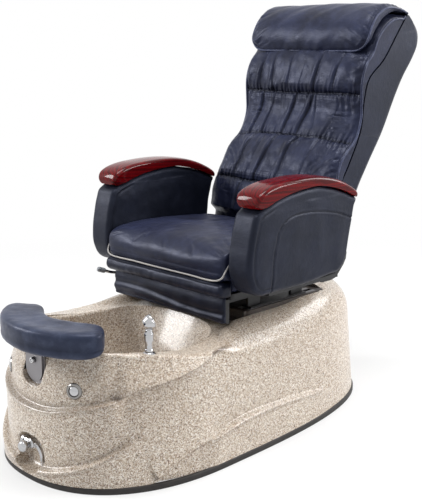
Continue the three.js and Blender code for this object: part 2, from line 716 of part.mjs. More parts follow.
// A crescent that follows the tub's front: its section is carried along an arc, thinner at the rounded ends.
function crescent() {
  const { halfWidth, front, depth, sag, foot: low, top } = footrest;
  const radius = (halfWidth ** 2 + sag ** 2) / (2 * sag);
  const centreY = -front + radius;
  const spread = Math.asin((halfWidth - 14) / (radius - depth / 2));
  const middle = (low + top) / 2;
  const section = [];
  const steps = 16;
  for (let k = 0; k < steps; k += 1) {
    const angle = (2 * Math.PI * k) / steps;
    const c = Math.cos(angle);
    const s = Math.sin(angle);
    const crown = s > 0 ? 2 / 2.6 : 2 / 4.5;
    section.push([Math.sign(c) * Math.abs(c) ** (2 / 3.2), Math.sign(s) * Math.abs(s) ** crown]);
  }
  const rings = [];
  const count = 14;
  for (let k = 0; k <= count; k += 1) {
    const u = -1 + (2 * k) / count;
    const eased = Math.sin((u * Math.PI) / 2);
    const thin = Math.max(0.06, (1 - Math.abs(eased) ** 7) ** (1 / 2.4));
    const angle = eased * spread;
    rings.push(section.map(([across, up]) => {
      const r = radius - depth / 2 + (across * depth * thin) / 2;
      const flat = Math.max(up * thin, up < 0 ? -1 : up * thin);
      const under = Math.max(flat, up * (0.6 + 0.4 * thin));
      const over = up * (0.55 + 0.45 * thin);
      const z = middle + ((top - low) / 2) * (up < 0 ? under : over);
      return v3(r * Math.sin(angle), centreY - r * Math.cos(angle), z);
    }));
  }
  return skin(rings);
}
add('footrest_pad', crescent(), leather);

// ---- hand sprayer standing on its flange on the rim
const rimZ = topHeight(sprayer.y) - 1;
const flangeProfile = [[0, 0], [sprayer.flange, 0], [sprayer.flange, 3], [15, 7], [12, 9], [0, 9]];
add('sprayer_flange', place(turned(flangeProfile), sprayer.x, sprayer.y, rimZ + gap), chrome);
const handleProfile = [
  [0, 0], [11, 0], [11, 5], [8, 9], [7.5, 20], [sprayer.handle, 32], [sprayer.handle, 50], [7.5, 58],
  [7.5, 62], [0, 62],
];
const sprayerFoot = rimZ + 9 + 2 * gap;
const headProfile = [
  [0, -10], [9, -10], [14, -5], [sprayer.head, 3], [sprayer.head, 12], [14, 15], [0, 15],
];
const headTilt = THREE.MathUtils.degToRad(72);
const head = turned(headProfile, 16).rotateX(headTilt).rotateZ(THREE.MathUtils.degToRad(-35));
const neck = place(rod(7, 16), 0, 0, -24);
const sprayerBody = join(turned(handleProfile), place(join(head, neck), 0, 0, 62 + 20));
add('hand_sprayer', place(sprayerBody, sprayer.x, sprayer.y, sprayerFoot), chrome);

// ---- plinth and slide rails
const plinthSide = [
  v2(plinth.front, plinth.foot), v2(plinth.front + plinth.lean, plinth.top - 6),
  v2(plinth.front + plinth.lean + 8, plinth.top), v2(plinth.rear, plinth.top),
  v2(plinth.rear, plinth.foot - 6),
];
const across = (outline, half) => {
  const wide = plate(outline, 2 * half);
  // the outline's own axes are Y and Z here, and its thickness runs along X
  return wide.rotateY(Math.PI / 2).rotateX(Math.PI / 2).translate(-half, 0, 0);
};
const plinthBlock = across(plinthSide, plinth.halfWidth);
const plinthPlan = plate(roundedRectangle(
  2 * plinth.halfWidth, plinth.rear - plinth.front, plinth.corner, 0, (plinth.rear + plinth.front) / 2, 6,
), 120);
const plinthColumn = place(plinthPlan, 0, 0, plinth.foot - 20);
const plinthHead = geometryOf(solid(plinthBlock).intersect(solid(plinthColumn)));
const plinthTop = cut(plinthHead, place(tubOutside(), 0, 0, gap));
const wellFill = box(
  -seatWell.halfWidth + gap, seatWell.halfWidth - gap, seatWell.front + gap, seatWell.rear - gap,
  seatWell.foot + gap, plinth.top - 1,
);
const grooves = sides.map(([, side]) => {
  const half = rail.width / 2 + gap;
  const middle = side * rail.x;
  return box(middle - half, middle + half, rail.front - gap, rail.rear + gap, rail.foot - gap, 460);
});
add('seat_plinth', cut(join(plinthTop, wellFill), ...grooves), brownBase);

const railSection = [
  v2(-22, 0), v2(22, 0), v2(22, 14), v2(9.3, 14), v2(9.3, 11), v2(18, 11),
  v2(18, 3), v2(-18, 3), v2(-18, 11), v2(-9.3, 11), v2(-9.3, 14), v2(-22, 14),
];
const alongY = (outline, from, to) => plate(outline, to - from).rotateX(Math.PI / 2).translate(0, to, 0);
const sliderSection = [
  v2(-17.6, 3.4), v2(17.6, 3.4), v2(17.6, 10.6), v2(9, 10.6),
  v2(9, 15), v2(-9, 15), v2(-9, 10.6), v2(-17.6, 10.6),
];
const frameFoot = seatHeight.frame;
for (const [name, side] of sides) {
  const channel = alongY(railSection, rail.front, rail.rear);
  add(`slide_rail_${name}`, place(channel, side * rail.x, 0, rail.foot), greySteel);
  const slider = place(alongY(sliderSection, carriage.front, carriage.rear), side * rail.x, 0, rail.foot);
  const saddle = box(
    side * rail.x - 20, side * rail.x + 20, carriage.frontPost - carriage.post / 2 - 2,
    carriage.rearPost + carriage.post / 2 + 2, rail.foot + 14.4, rail.foot + 18.4,
  );
  const half = carriage.postThickness / 2;
  const posts = [carriage.frontPost, carriage.rearPost].map((y) => {
    const halfPost = carriage.post / 2;
    const middle = side * rail.x;
    return box(middle - half, middle + half, y - halfPost, y + halfPost, rail.foot + 17, frameFoot - gap);
  });
  add(`seat_carriage_${name}`, join(slider, saddle, ...posts), blackSteel);
}

// ---- seat frame
const sideBar = { x: 200, width: 30, height: 26, front: 113, rear: 556 };
const sideTop = frameFoot + sideBar.height;
const frameBars = [-1, 1].map((sign) => {
  const middle = sign * sideBar.x;
  const half = sideBar.width / 2;
  return box(middle - half, middle + half, sideBar.front, sideBar.rear, frameFoot, sideTop);
});
const crossBars = [carriage.frontPost, carriage.rearPost].map((y) => {
  return box(-sideBar.x, sideBar.x, y - 18, y + 18, frameFoot, sideTop);
});
const bar = { y: 128, z: 391, half: 62, shaftY: 250, shaftZ: 424, radius: 5, bracketX: 96 };
const lug = across(corners([
  [bar.shaftY - 14, bar.shaftZ - 12, 8], [bar.shaftY + 14, bar.shaftZ - 12, 8],
  [bar.shaftY + 34, frameFoot + 1, 3], [bar.shaftY + 8, frameFoot + 1, 3],
], 3), 2);
const lugHole = place(rod(bar.radius + gap, 20, 12).rotateY(Math.PI / 2), -10, bar.shaftY, bar.shaftZ);
const lugs = [-1, 1].map((sign) => place(cut(lug, lugHole), sign * bar.bracketX, 0, 0));
add('seat_frame', join(...frameBars, ...crossBars, ...lugs), blackSteel);
const boardFoot = sideTop + gap;
const boardTop = boardFoot + seatBoard.thickness;
const boardPlan = roundedRectangle(
  2 * seatBoard.halfWidth, seatBoard.rear - seatBoard.front, 12, 0, (seatBoard.rear + seatBoard.front) / 2,
);
add('seat_board', place(plate(boardPlan, seatBoard.thickness), 0, 0, boardFoot), blackPlastic);

const inside = seatBoard.front + 2;
const cushionSection = corners([
  [inside, boardTop + gap, 4], [inside, seatHeight.cushionFoot, 3],
  [cushion.front + 10, seatHeight.cushionFoot, 8], [cushion.front, seatHeight.cushionFoot + 30, 16],
  [cushion.front + 3, 604, 22], [cushion.front + 42, 622, 30],
  [185, seatHeight.crest, 50], [300, 627, 50], [430, 616, 40], [cushion.rear, seatHeight.rear, 16],
  [cushion.rear + 4, 560, 20], [cushion.rear - 6, boardTop + gap, 10],
], 2);
add('seat_cushion', pad({
  section: cushionSection, from: -cushion.halfWidth, to: cushion.halfWidth, round: cushion.round,
  crown: 7, rings: 4,
}), leather);
const apronSection = corners([
  [apron.front, 488, 14], [apron.front + 2, apron.top - 4, 12], [inside - 4, apron.top, 8],
  [inside - 2.4, boardTop, 3], [inside - 2.4, apron.foot + gap, 3], [apron.front + 14, apron.foot + gap, 12],
], 2);
add('apron_roll', pad({
  section: apronSection, from: -apron.halfWidth, to: apron.halfWidth, round: 14, rings: 3,
}), darkLeather);

const skirtSection = corners([
  [skirt.front + 3, skirt.foot, 5], [skirt.front, skirt.foot + 30, 18], [skirt.front, 444, 18],
  [skirt.front + 5, apron.foot - gap, 6], [skirt.front + 15.4, apron.foot - gap, 3],
  [skirt.front + 15.4, skirt.foot, 3],
], 2);
add('skirt_pad', pad({
  section: skirtSection, from: -skirt.halfWidth, to: skirt.halfWidth, round: 7, rings: 4, arc: 2,
}), darkLeather);
const skirtBack = skirt.front + 15.7;
add('skirt_board', box(
  -skirt.halfWidth + 4, skirt.halfWidth - 4, skirtBack, sideBar.front - gap, skirt.foot - 3, boardFoot - gap,
), blackPlastic);

// ---- arms
const capFoot = [
  [128, 744], [150, 752], [190, 766], [247, 779], [330, 788], [390, 788], [460, 774], [520, 755],
  [560, 738], [580, 730],
];
const armTop = capFoot.map(([y, z]) => [y, z - 4 * gap]);
const armSection = corners([
  [126, arm.foot, 14], [96, 507, 18], [arm.front, 556, 20], [arm.front, 608, 20], [89, 674, 20],
  [106, 728, 10], ...armTop, [572, 715, 10], [559, 659, 20], [543, 564, 26], [522, 518, 16],
  [499, 500, 12], [330, arm.foot],
], 2);
const capTop = [
  [112, 748], [110, 764], [118, 782], [140, 796], [185, 808], [247, 814], [330, 816], [395, 812], [470, 798],
  [530, 776], [575, 752], [588, 739],
];
const armMiddle = (arm.inner + arm.outer) / 2;
const armHalf = (arm.outer - arm.inner) / 2;
for (const [name, sign] of sides) {
  const x = sign * armMiddle;
  const boardEdges = [sign * (seatBoard.halfWidth + gap), sign * (armMiddle + 20)];
  const armBoard = box(
    Math.min(...boardEdges), Math.max(...boardEdges), 190, 522, arm.foot - 13, arm.foot - gap,
  );
  add(`arm_board_${name}`, armBoard, blackPlastic);
  const span = { from: x - armHalf, to: x + armHalf };
  add(`arm_pad_${name}`, pad({ section: armSection, ...span, round: arm.round, rings: 1, arc: 2 }), leather);
  add(`arm_cap_${name}`, place(panel({
    front: capTop, rear: capFoot, half: armHalf + 3, round: 9, drawn: 10, crown: 4, count: 14, rings: 1,
  }), x, 0, 0), cherry);
}

// ---- backrest on its shaft
const pivot = { y: back.pivotY, z: back.pivotZ, radius: back.pivotRadius };
const bracketPlan = corners([
  [524, boardFoot - 22, 6], [600, boardFoot - 22, 20], [660, 500, 24], [658, 545, 24], [600, 548, 24],
  [560, boardTop + 4, 20], [524, boardTop + 4, 6],
], 2);
const bracketThickness = 5;
const pivotHole = place(rod(pivot.radius + 3 * gap, 40).rotateY(Math.PI / 2), -20, pivot.y, pivot.z);
for (const [name, sign] of sides) {
  const inner = sign * (seatBoard.halfWidth + gap + bracketThickness / 2);
  const bracket = cut(across(bracketPlan, bracketThickness / 2), pivotHole);
  add(`recliner_bracket_${name}`, place(bracket, inner, 0, 0), blackSteel);
}

const shellFront = [
  [980, 1302], [923, 1234], [853, 1152], [772, 1088], [750, 1023], [737, 926], [677, 814], [628, 740],
  [612, 670], [602, 600], [594, 506],
];
const shellRear = [
  [994, 1298], [1052, 1258], [1066, 1217], [1032, 1177], [975, 1116], [922, 1016], [870, 917], [790, 803],
  [748, 740], [704, 650], [676, 565], [664, 500],
];
const padFront = [
  [976, 1301], [905, 1305], [850, 1285], [800, 1240], [772, 1190], [735, 1150], [716, 1093], [720, 1030],
  [722, 984], [690, 912], [618, 845], [587, 774], [588, 700], [576, 610], [570, 515],
];
const outer = panel({
  front: shellFront, rear: shellRear, half: back.halfWidth, round: back.round, tucked: 40, count: 20,
  rings: 1,
});
const innerFront = smoothLine(shellFront, 19);
const innerRear = smoothLine(shellRear, 19).map((p, i) => {
  const aim = innerFront[i];
  return p.clone().lerp(aim, Math.min(0.5, back.wall / p.distanceTo(aim)));
});
const cavity = panel({
  front: innerFront.slice(2).map((p) => [p.x - 24, p.y + 6]),
  rear: innerRear.slice(2).map((p) => [p.x, p.y]),
  half: back.halfWidth - 20, round: 8, count: 18, rings: 1,
});
const cavityFoot = box(-back.halfWidth + 20, back.halfWidth - 20, 540, 652, 460, 600);
const shaftHole = place(rod(pivot.radius + gap, 560).rotateY(Math.PI / 2), -280, pivot.y, pivot.z);
add('back_shell', cut(outer, cavity, cavityFoot, shaftHole), leather);

const frameLine = [
  [628, 506], [634, 560], [645, 640], [672, 730], [745, 850], [806, 950], [850, 1060], [905, 1150],
  [948, 1200],
];
function frameBar() {
  const line = smoothLine(frameLine, 14);
  const half = 17;
  const left = [];
  const right = [];
  line.forEach((p, i) => {
    const next = line[Math.min(i + 1, line.length - 1)];
    const ahead = next.clone().sub(line[Math.max(i - 1, 0)]).normalize();
    left.push(v2(p.x - ahead.y * half, p.y + ahead.x * half));
    right.push(v2(p.x + ahead.y * half, p.y - ahead.x * half));
  });
  return across([...right, ...left.reverse()], 4);
}
const barX = 170;
const shaftLength = 2 * (seatBoard.halfWidth + bracketThickness + 6);
const shaftRod = rod(pivot.radius, shaftLength).rotateY(Math.PI / 2);
const shaft = place(shaftRod, -shaftLength / 2, pivot.y, pivot.z);
const bars = [-barX, barX].map((x) => place(frameBar(), x, 0, 0));
add('back_frame', join(shaft, ...bars), blackSteel);

add('back_pad', panel({
  front: padFront, rear: shellFront.map(([y, z]) => [y - 1.8, z + 1.2]), half: back.halfWidth, round: 24,
  drawn: 22, crown: 5, seams: [[0.33, 9, 0.03], [0.505, 9, 0.03], [0.69, 9, 0.03]], count: 27, rings: 2,
}), leather);

const pillowFront = [
  [988, 1310], [945, 1331], [890, 1341], [835, 1333], [784, 1302], [750, 1250], [740, 1208], [752, 1180],
];
const pillowRear = [
  [984.7, 1306.7], [940.7, 1311.3], [902.7, 1311.5], [845.2, 1291.7], [793.3, 1244], [764, 1193.6],
  [757.8, 1181.7],
];
add('head_pillow', panel({
  front: pillowFront, rear: pillowRear, half: back.halfWidth, round: 20, drawn: 26, crown: 3, count: 14,
  rings: 2,
}), leather);

// ---- massage mechanism on its leaning spine inside the backrest
const onSpine = (geometry, x = 0, y = 0, z = 0) => {
  return place(geometry, x, y, z).rotateX(-spine.lean).translate(0, spine.y, spine.z);
};
const screwRadius = 8;
const blockHalf = barX - 4 - gap;
const spineRail = rod(7, spine.length + 20, 14);
const spineRails = [-1, 1].map((sign) => place(spineRail, sign * spine.railX, 0, -10));
const blocks = [-14, spine.length].map((z) => box(-blockHalf, blockHalf, -16, 16, z, z + 14));
const screwHole = place(rod(screwRadius + gap, spine.length + 80), 0, 0, -30);
add('massage_frame', onSpine(cut(join(...spineRails, ...blocks), screwHole)), greySteel);

const screwPitch = 48;
const thread = [];
for (let z = 8; z < spine.length - 8; z += screwPitch) {
  thread.push([6.4, z], [screwRadius, z + screwPitch / 2]);
}
const screwLine = [[0, -16], [6.4, -16], ...thread, [6.4, spine.length + 18], [0, spine.length + 18]];
add('massage_lead_screw', onSpine(turned(screwLine, 8)), chrome);
const massageMotor = turned([[0, 0], [24, 0], [27, 4], [27, 52], [22, 58], [0, 58]], 16);
add('massage_motor', onSpine(massageMotor, 0, 0, -14 - gap - 58 - 2), blackPlastic);

const nut = { foot: 120, height: 70, half: 104 };
const roller = { radius: 15, width: 15, x: 52, reach: 29, low: 18, high: 54 };
const nutBlock = box(-nut.half, nut.half, -13, 15, nut.foot, nut.foot + nut.height);
const nutHoles = [
  place(rod(screwRadius + gap, 120), 0, 0, nut.foot - 20),
  ...[-1, 1].map((sign) => place(rod(7 + gap, 120, 14), sign * spine.railX, 0, nut.foot - 20)),
];
const axles = [roller.low, roller.high].flatMap((z) => [-1, 1].map((sign) => {
  const axle = rod(4, 30, 12).rotateY((sign * Math.PI) / 2);
  return place(axle, sign * (roller.x - roller.width / 2 - 6), -roller.reach, nut.foot + z - 2);
}));
const cheeks = [-1, 1].map((sign) => box(
  sign * (roller.x - roller.width / 2 - 4) - 3, sign * (roller.x - roller.width / 2 - 4) + 3,
  -roller.reach - 9, -10, nut.foot + 4, nut.foot + nut.height - 4,
));
add('massage_carriage', onSpine(join(cut(nutBlock, ...nutHoles), ...cheeks, ...axles)), blackPlastic);
const rollerProfile = [
  [4 + gap, -7], [11, -7], [roller.radius, -2], [roller.radius, 2], [11, 7], [4 + gap, 7], [4 + gap, -7],
];
for (const [level, z] of [['lower', roller.low], ['upper', roller.high]]) {
  for (const [name, sign] of sides) {
    const wheel = turned(rollerProfile, 10).rotateY(Math.PI / 2);
    const x = sign * (roller.x + 1);
    const placed = onSpine(wheel, x, -roller.reach, nut.foot + z - 2);
    add(`massage_roller_${level}_${name}`, placed, paleRubber);
  }
}

// ---- levers under the seat
const barPath = [
  [-bar.half - 18, bar.shaftY, bar.shaftZ], [-bar.half - 16, bar.y + 26, bar.z + 24],
  [-bar.half, bar.y + 2, bar.z], [0, bar.y, bar.z - 1], [bar.half, bar.y + 2, bar.z],
  [bar.half + 16, bar.y + 26, bar.z + 24], [bar.half + 18, bar.shaftY, bar.shaftZ],
];
const barShaft = place(rod(bar.radius, 220, 12).rotateY(Math.PI / 2), -110, bar.shaftY, bar.shaftZ);
add('release_bar', join(tube(barPath, bar.radius, 12, 8), barShaft), greySteel);
const lever = { y: 150, z: 448, x: -262, tipY: 52, tipZ: 469 };
const leverBlock = box(
  lever.x + 0.6, lever.x + 14, lever.y - 16, lever.y + 16, lever.z - 14, boardFoot - gap,
);
const leverHole = place(rod(5 + gap, 30, 14).rotateY(Math.PI / 2), lever.x - 6, lever.y, lever.z);
add('recline_bracket', cut(leverBlock, leverHole), blackSteel);
const leverPath = [
  [lever.x - 7, lever.y, lever.z], [lever.x - 14, lever.y - 26, lever.z + 2], [lever.x - 20, 92, 456],
  [lever.x - 26, 72, 463],
];
const hubProfile = [[0, 0], [12, 0], [12, 10], [10, 12], [0, 12]];
const hub = place(turned(hubProfile, 14).rotateY(-Math.PI / 2), lever.x, lever.y, lever.z);
const pin = place(rod(5, 22, 14).rotateY(Math.PI / 2), lever.x - 8, lever.y, lever.z);
add('recline_lever', join(tube(leverPath, 5, 8, 8), hub, pin), chrome);
const gripAim = v3(lever.x - 26, 72, 463).sub(v3(lever.x - 20, 92, 456)).normalize();
const gripTurn = new THREE.Quaternion().setFromUnitVectors(v3(0, 0, 1), gripAim);
const grip = turned([[0, 0], [7, 0], [8.5, 3], [9, 20], [7, 27], [0, 29]], 12).applyQuaternion(gripTurn);
const gripFoot = v3(lever.x - 26, 72, 463).addScaledVector(gripAim, gap);
add('recline_grip', place(grip, gripFoot.x, gripFoot.y, gripFoot.z), paleRubber);

// ---- control box and power inlet under the seat
const control = { half: 90, front: 322, rear: 440, foot: 418 };
add('control_box', place(
  plate(roundedRectangle(2 * control.half, control.rear - control.front, 8), sideTop - control.foot), 0,
  (control.rear + control.front) / 2, control.foot,
), blackPlastic);
const inletBody = box(-16, 16, control.rear + gap, control.rear + 16, 428, 452);
const inletMouth = box(-11, 11, control.rear + 6, control.rear + 20, 433, 447);
add('power_inlet', cut(inletBody, inletMouth), blackPlastic);

// ---- the origin goes under the middle of the whole chair
const extent = new THREE.Box3().setFromObject(chair);
chair.position.y = -(extent.min.y + extent.max.y) / 2;

export default chair;
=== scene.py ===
"""Looks of a pedicure spa chair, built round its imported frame.

Shapes are written in the same millimetres as the part's source: Y from the tub's widest station,
+Z up, the sitter facing -Y. A point becomes metres in the row frame in one place, piece().
"""

import json
import math

import bmesh
import bpy
import numpy as np
from mathutils import Matrix, Vector

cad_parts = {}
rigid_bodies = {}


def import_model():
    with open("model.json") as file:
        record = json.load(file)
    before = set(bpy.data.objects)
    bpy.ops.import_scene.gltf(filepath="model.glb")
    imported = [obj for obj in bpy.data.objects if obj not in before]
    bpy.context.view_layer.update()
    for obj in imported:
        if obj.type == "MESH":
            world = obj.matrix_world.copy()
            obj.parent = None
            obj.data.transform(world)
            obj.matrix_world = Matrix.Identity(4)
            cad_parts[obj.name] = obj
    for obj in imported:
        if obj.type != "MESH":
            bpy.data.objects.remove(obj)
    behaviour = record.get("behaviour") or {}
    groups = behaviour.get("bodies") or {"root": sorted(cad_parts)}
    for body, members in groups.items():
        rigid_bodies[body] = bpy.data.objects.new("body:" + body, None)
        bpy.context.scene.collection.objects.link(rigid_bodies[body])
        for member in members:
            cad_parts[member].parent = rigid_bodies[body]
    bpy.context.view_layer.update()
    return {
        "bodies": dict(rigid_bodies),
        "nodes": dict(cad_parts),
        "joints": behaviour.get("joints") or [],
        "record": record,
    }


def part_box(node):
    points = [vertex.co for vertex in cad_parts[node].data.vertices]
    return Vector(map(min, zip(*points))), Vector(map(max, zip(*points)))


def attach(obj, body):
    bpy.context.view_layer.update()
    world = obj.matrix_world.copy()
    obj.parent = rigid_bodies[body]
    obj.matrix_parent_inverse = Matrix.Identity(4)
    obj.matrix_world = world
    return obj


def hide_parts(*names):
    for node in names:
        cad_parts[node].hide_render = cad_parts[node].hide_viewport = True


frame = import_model()
scene = bpy.context.scene

TRIM_FRONT = -457.0  # front of the foot trim, mm from the widest station
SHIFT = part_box("foot_trim")[0].y * 1000 - TRIM_FRONT
SIDES = (("left", -1), ("right", 1))


# ---------------------------------------------------------------- small maths
def smooth(a, b, x):
    t = np.clip((np.asarray(x, float) - a) / (b - a), 0, 1)
    return t * t * (3 - 2 * t)


def mix(a, b, t):
    return a + (b - a) * t


def bell(x, width):
    return np.exp(-((x / width) ** 2))


def spike(x, width):
    return np.exp(-np.abs(x) / width)


def along(pairs, y):
    return np.interp(y, [p[0] for p in pairs], [p[1] for p in pairs])


def spline(points, count):
    """Evenly spaced points on a centripetal curve through the given ones."""
    p = np.array(points, float)
    p = np.vstack([2 * p[0] - p[1], p, 2 * p[-1] - p[-2]])
    dense = []
    for q in zip(p, p[1:], p[2:], p[3:]):
        knots = [0.0]
        for a, b in zip(q, q[1:]):
            knots.append(knots[-1] + max(np.linalg.norm(b - a) ** 0.5, 1e-6))
        t0, t1, t2, t3 = knots
        t = np.linspace(t1, t2, 24, endpoint=False)[:, None]
        a1 = (t1 - t) / (t1 - t0) * q[0] + (t - t0) / (t1 - t0) * q[1]
        a2 = (t2 - t) / (t2 - t1) * q[1] + (t - t1) / (t2 - t1) * q[2]
        a3 = (t3 - t) / (t3 - t2) * q[2] + (t - t2) / (t3 - t2) * q[3]
        b1 = (t2 - t) / (t2 - t0) * a1 + (t - t0) / (t2 - t0) * a2
        b2 = (t3 - t) / (t3 - t1) * a2 + (t - t1) / (t3 - t1) * a3
        dense.append((t2 - t) / (t2 - t1) * b1 + (t - t1) / (t2 - t1) * b2)
    return resample(np.concatenate([*dense, p[-2:-1]]), count)


def resample(points, count, closed=False):
    """The same line as `count` evenly spaced points; a closed line doesn't repeat its first point."""
    p = np.array(points, float)
    if closed:
        p = np.vstack([p, p[:1]])
    step = np.linalg.norm(np.diff(p, axis=0), axis=1)
    length = np.concatenate([[0], np.cumsum(step)])
    at = np.linspace(0, length[-1], count + 1 if closed else count)
    line = np.stack([np.interp(at, length, p[:, k]) for k in range(p.shape[1])], 1)
    return line[:-1] if closed else line


def rounded(corners, steps=10):
    """A closed outline from [y, z, radius] corners, each drawn as a short curve."""
    out = []
    n = len(corners)
    for k, corner in enumerate(corners):
        here = np.array(corner[:2], float)
        radius = corner[2] if len(corner) > 2 else 0
        before = np.array(corners[k - 1][:2], float)
        after = np.array(corners[(k + 1) % n][:2], float)
        if radius == 0:
            out.append(here)
            continue
        start = here + (before - here) * min(0.5, radius / np.linalg.norm(before - here))
        end = here + (after - here) * min(0.5, radius / np.linalg.norm(after - here))
        for t in np.linspace(0, 1, steps + 1):
            out.append((1 - t) ** 2 * start + 2 * t * (1 - t) * here + t * t * end)
    return np.array(out)


def waviness(seed, waves, low, high):
    """A smooth seeded function of one number: a sum of sines between two wavelengths."""
    rng = np.random.default_rng(seed)
    lengths = rng.uniform(low, high, waves)
    phases = rng.uniform(0, 2 * math.pi, waves)
    sizes = rng.uniform(0.5, 1, waves) / waves**0.5

    def value(x):
        total = 0
        for size, length, phase in zip(sizes, lengths, phases):
            total = total + size * np.sin(2 * math.pi * np.asarray(x) / length + phase)
        return total

    return value


def field(seed, waves, low, high):
    """A smooth seeded function of a place in a plane: waves in all directions."""
    rng = np.random.default_rng(seed)
    turn = rng.uniform(0, math.pi, waves)
    lengths = rng.uniform(low, high, waves)
    phases = rng.uniform(0, 2 * math.pi, waves)

    def value(x, y):
        total = 0
        for a, w, p in zip(turn, lengths, phases):
            total = total + np.sin(2 * math.pi * (x * math.cos(a) + y * math.sin(a)) / w + p)
        return total / waves**0.5

    return value


# ---------------------------------------------------------------- meshes
def piece(name, points, faces, material, body=None, slot=None, replaces=(), sharp=50):
    """A mesh piece from millimetres in the source's frame."""
    co = np.asarray(points, float).reshape(-1, 3).copy()
    co[:, 1] += SHIFT
    mesh = bpy.data.meshes.new(name)
    mesh.from_pydata((co / 1000).tolist(), [], [tuple(f) for f in faces])
    mesh.validate()
    obj = bpy.data.objects.new(name, mesh)
    scene.collection.objects.link(obj)
    tool = bmesh.new()
    tool.from_mesh(mesh)
    bmesh.ops.remove_doubles(tool, verts=tool.verts, dist=1e-6)
    bmesh.ops.recalc_face_normals(tool, faces=tool.faces)
    if tool.calc_volume(signed=True) < 0:
        bmesh.ops.reverse_faces(tool, faces=tool.faces)
    tool.to_mesh(mesh)
    tool.free()
    finish_piece(obj, material, body, replaces, sharp)
    return obj


def store(obj, name, values):
    """Keeps a value for each point, which a material can read."""
    layer = obj.data.attributes.new(name, "FLOAT", "POINT")
    layer.data.foreach_set("value", np.asarray(values, np.float32).ravel())


def read_points(mesh):
    """The mesh's points in millimetres of the row frame."""
    co = np.empty(len(mesh.vertices) * 3)
    mesh.vertices.foreach_get("co", co)
    return co.reshape(-1, 3) * 1000


def read_normals(mesh):
    normal = np.empty(len(mesh.vertices) * 3)
    mesh.vertex_normals.foreach_get("vector", normal)
    return normal.reshape(-1, 3)


def finish_piece(obj, material, body, replaces, sharp):
    """Material, shading, body and hidden nodes of a piece."""
    mesh = obj.data
    if material is not None:
        mesh.materials.clear()
        mesh.materials.append(material)
    mesh.polygons.foreach_set("use_smooth", [True] * len(mesh.polygons))
    mesh.set_sharp_from_angle(angle=math.radians(sharp))
    if body:
        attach(obj, body)
    if replaces:
        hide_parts(*replaces)


def stations(count):
    return np.linspace(0, 2 * math.pi, count, endpoint=False)


def row(x, y, z):
    """A ring of points from three coordinates, any of which may be a single number."""
    return np.stack(np.broadcast_arrays(x, y, z), 1).astype(float)


def loft(rings, ends="fan"):
    """Points and faces of a skin through rings of points.

    'fan' closes each end round a hub, and 'strip' joins the halves of each end ring. 'mirror' closes
    the first ring round a hub and joins the halves of the last one. 'none' leaves both ends open.
    """
    rings = np.asarray(rings, float)
    rows, count = rings.shape[:2]
    points = rings.reshape(-1, 3)
    faces = []
    for r in range(rows - 1):
        a = r * count
        for i in range(count):
            j = (i + 1) % count
            faces.append((a + i, a + j, a + count + j, a + count + i))
    last = (rows - 1) * count
    if ends == "strip":
        for start in (0, last):
            for i in range(count // 2 - 1):
                faces.append((start + i, start + i + 1, start + count - 2 - i, start + count - 1 - i))
    elif ends == "mirror":
        for i in range(1, count // 2 - 1):
            faces.append((last + i, last + i + 1, last + count - i - 1, last + count - i))
        faces.append((last, last + 1, last + count - 1))
        half = count // 2
        faces.append((last + half - 1, last + half, last + half + 1))
        points = np.vstack([points, rings[0].mean(0)])
        hub = len(points) - 1
        faces.extend((hub, i, (i + 1) % count) for i in range(count))
    elif ends == "fan":
        for start, ring in ((0, rings[0]), (last, rings[-1])):
            points = np.vstack([points, ring.mean(0)])
            hub = len(points) - 1
            faces.extend((hub, start + i, start + (i + 1) % count) for i in range(count))
    return points, faces


def turned(profile, sides=48):
    """Points and faces of a piece turned about +Z, from [radius, height] pairs.

    The pairs start and end on the axis.
    """
    angle = stations(sides)
    rings = [row(r * np.cos(angle), r * np.sin(angle), height) for r, height in profile[1:-1]]
    points, faces = loft(rings, "none")
    for start, height in ((0, profile[0][1]), ((len(rings) - 1) * sides, profile[-1][1])):
        points = np.vstack([points, [0, 0, height]])
        hub = len(points) - 1
        faces.extend((hub, start + i, start + (i + 1) % sides) for i in range(sides))
    return points, faces


def soften(profile, radius=0.8):
    """A profile with its inner corners rounded."""
    out = [profile[0]]
    for before, here, after in zip(profile, profile[1:], profile[2:]):
        here, before, after = (np.array(p, float) for p in (here, before, after))
        r1 = min(radius, 0.45 * np.linalg.norm(before - here))
        r2 = min(radius, 0.45 * np.linalg.norm(after - here))
        start = here + (before - here) / max(np.linalg.norm(before - here), 1e-9) * r1
        end = here + (after - here) / max(np.linalg.norm(after - here), 1e-9) * r2
        for t in np.linspace(0, 1, 5):
            out.append(tuple((1 - t) ** 2 * start + 2 * t * (1 - t) * here + t * t * end))
    return out + [profile[-1]]


def frames(path):
    """Tangent, side and up of each point of a path, turning as little as possible."""
    tangent = np.gradient(path, axis=0)
    tangent /= np.linalg.norm(tangent, axis=1)[:, None]
    side = np.cross(tangent[0], [0, 0, 1.0])
    if np.linalg.norm(side) < 1e-3:
        side = np.cross(tangent[0], [0, 1.0, 0])
    sides = []
    for t in tangent:
        side = side - t * (side @ t)
        side = side / np.linalg.norm(side)
        sides.append(side)
    sides = np.array(sides)
    return tangent, sides, np.cross(sides, tangent)


DOME_ANGLES = (1.3, 0.8, 0.4)  # where the rings of a tube's domed end lie


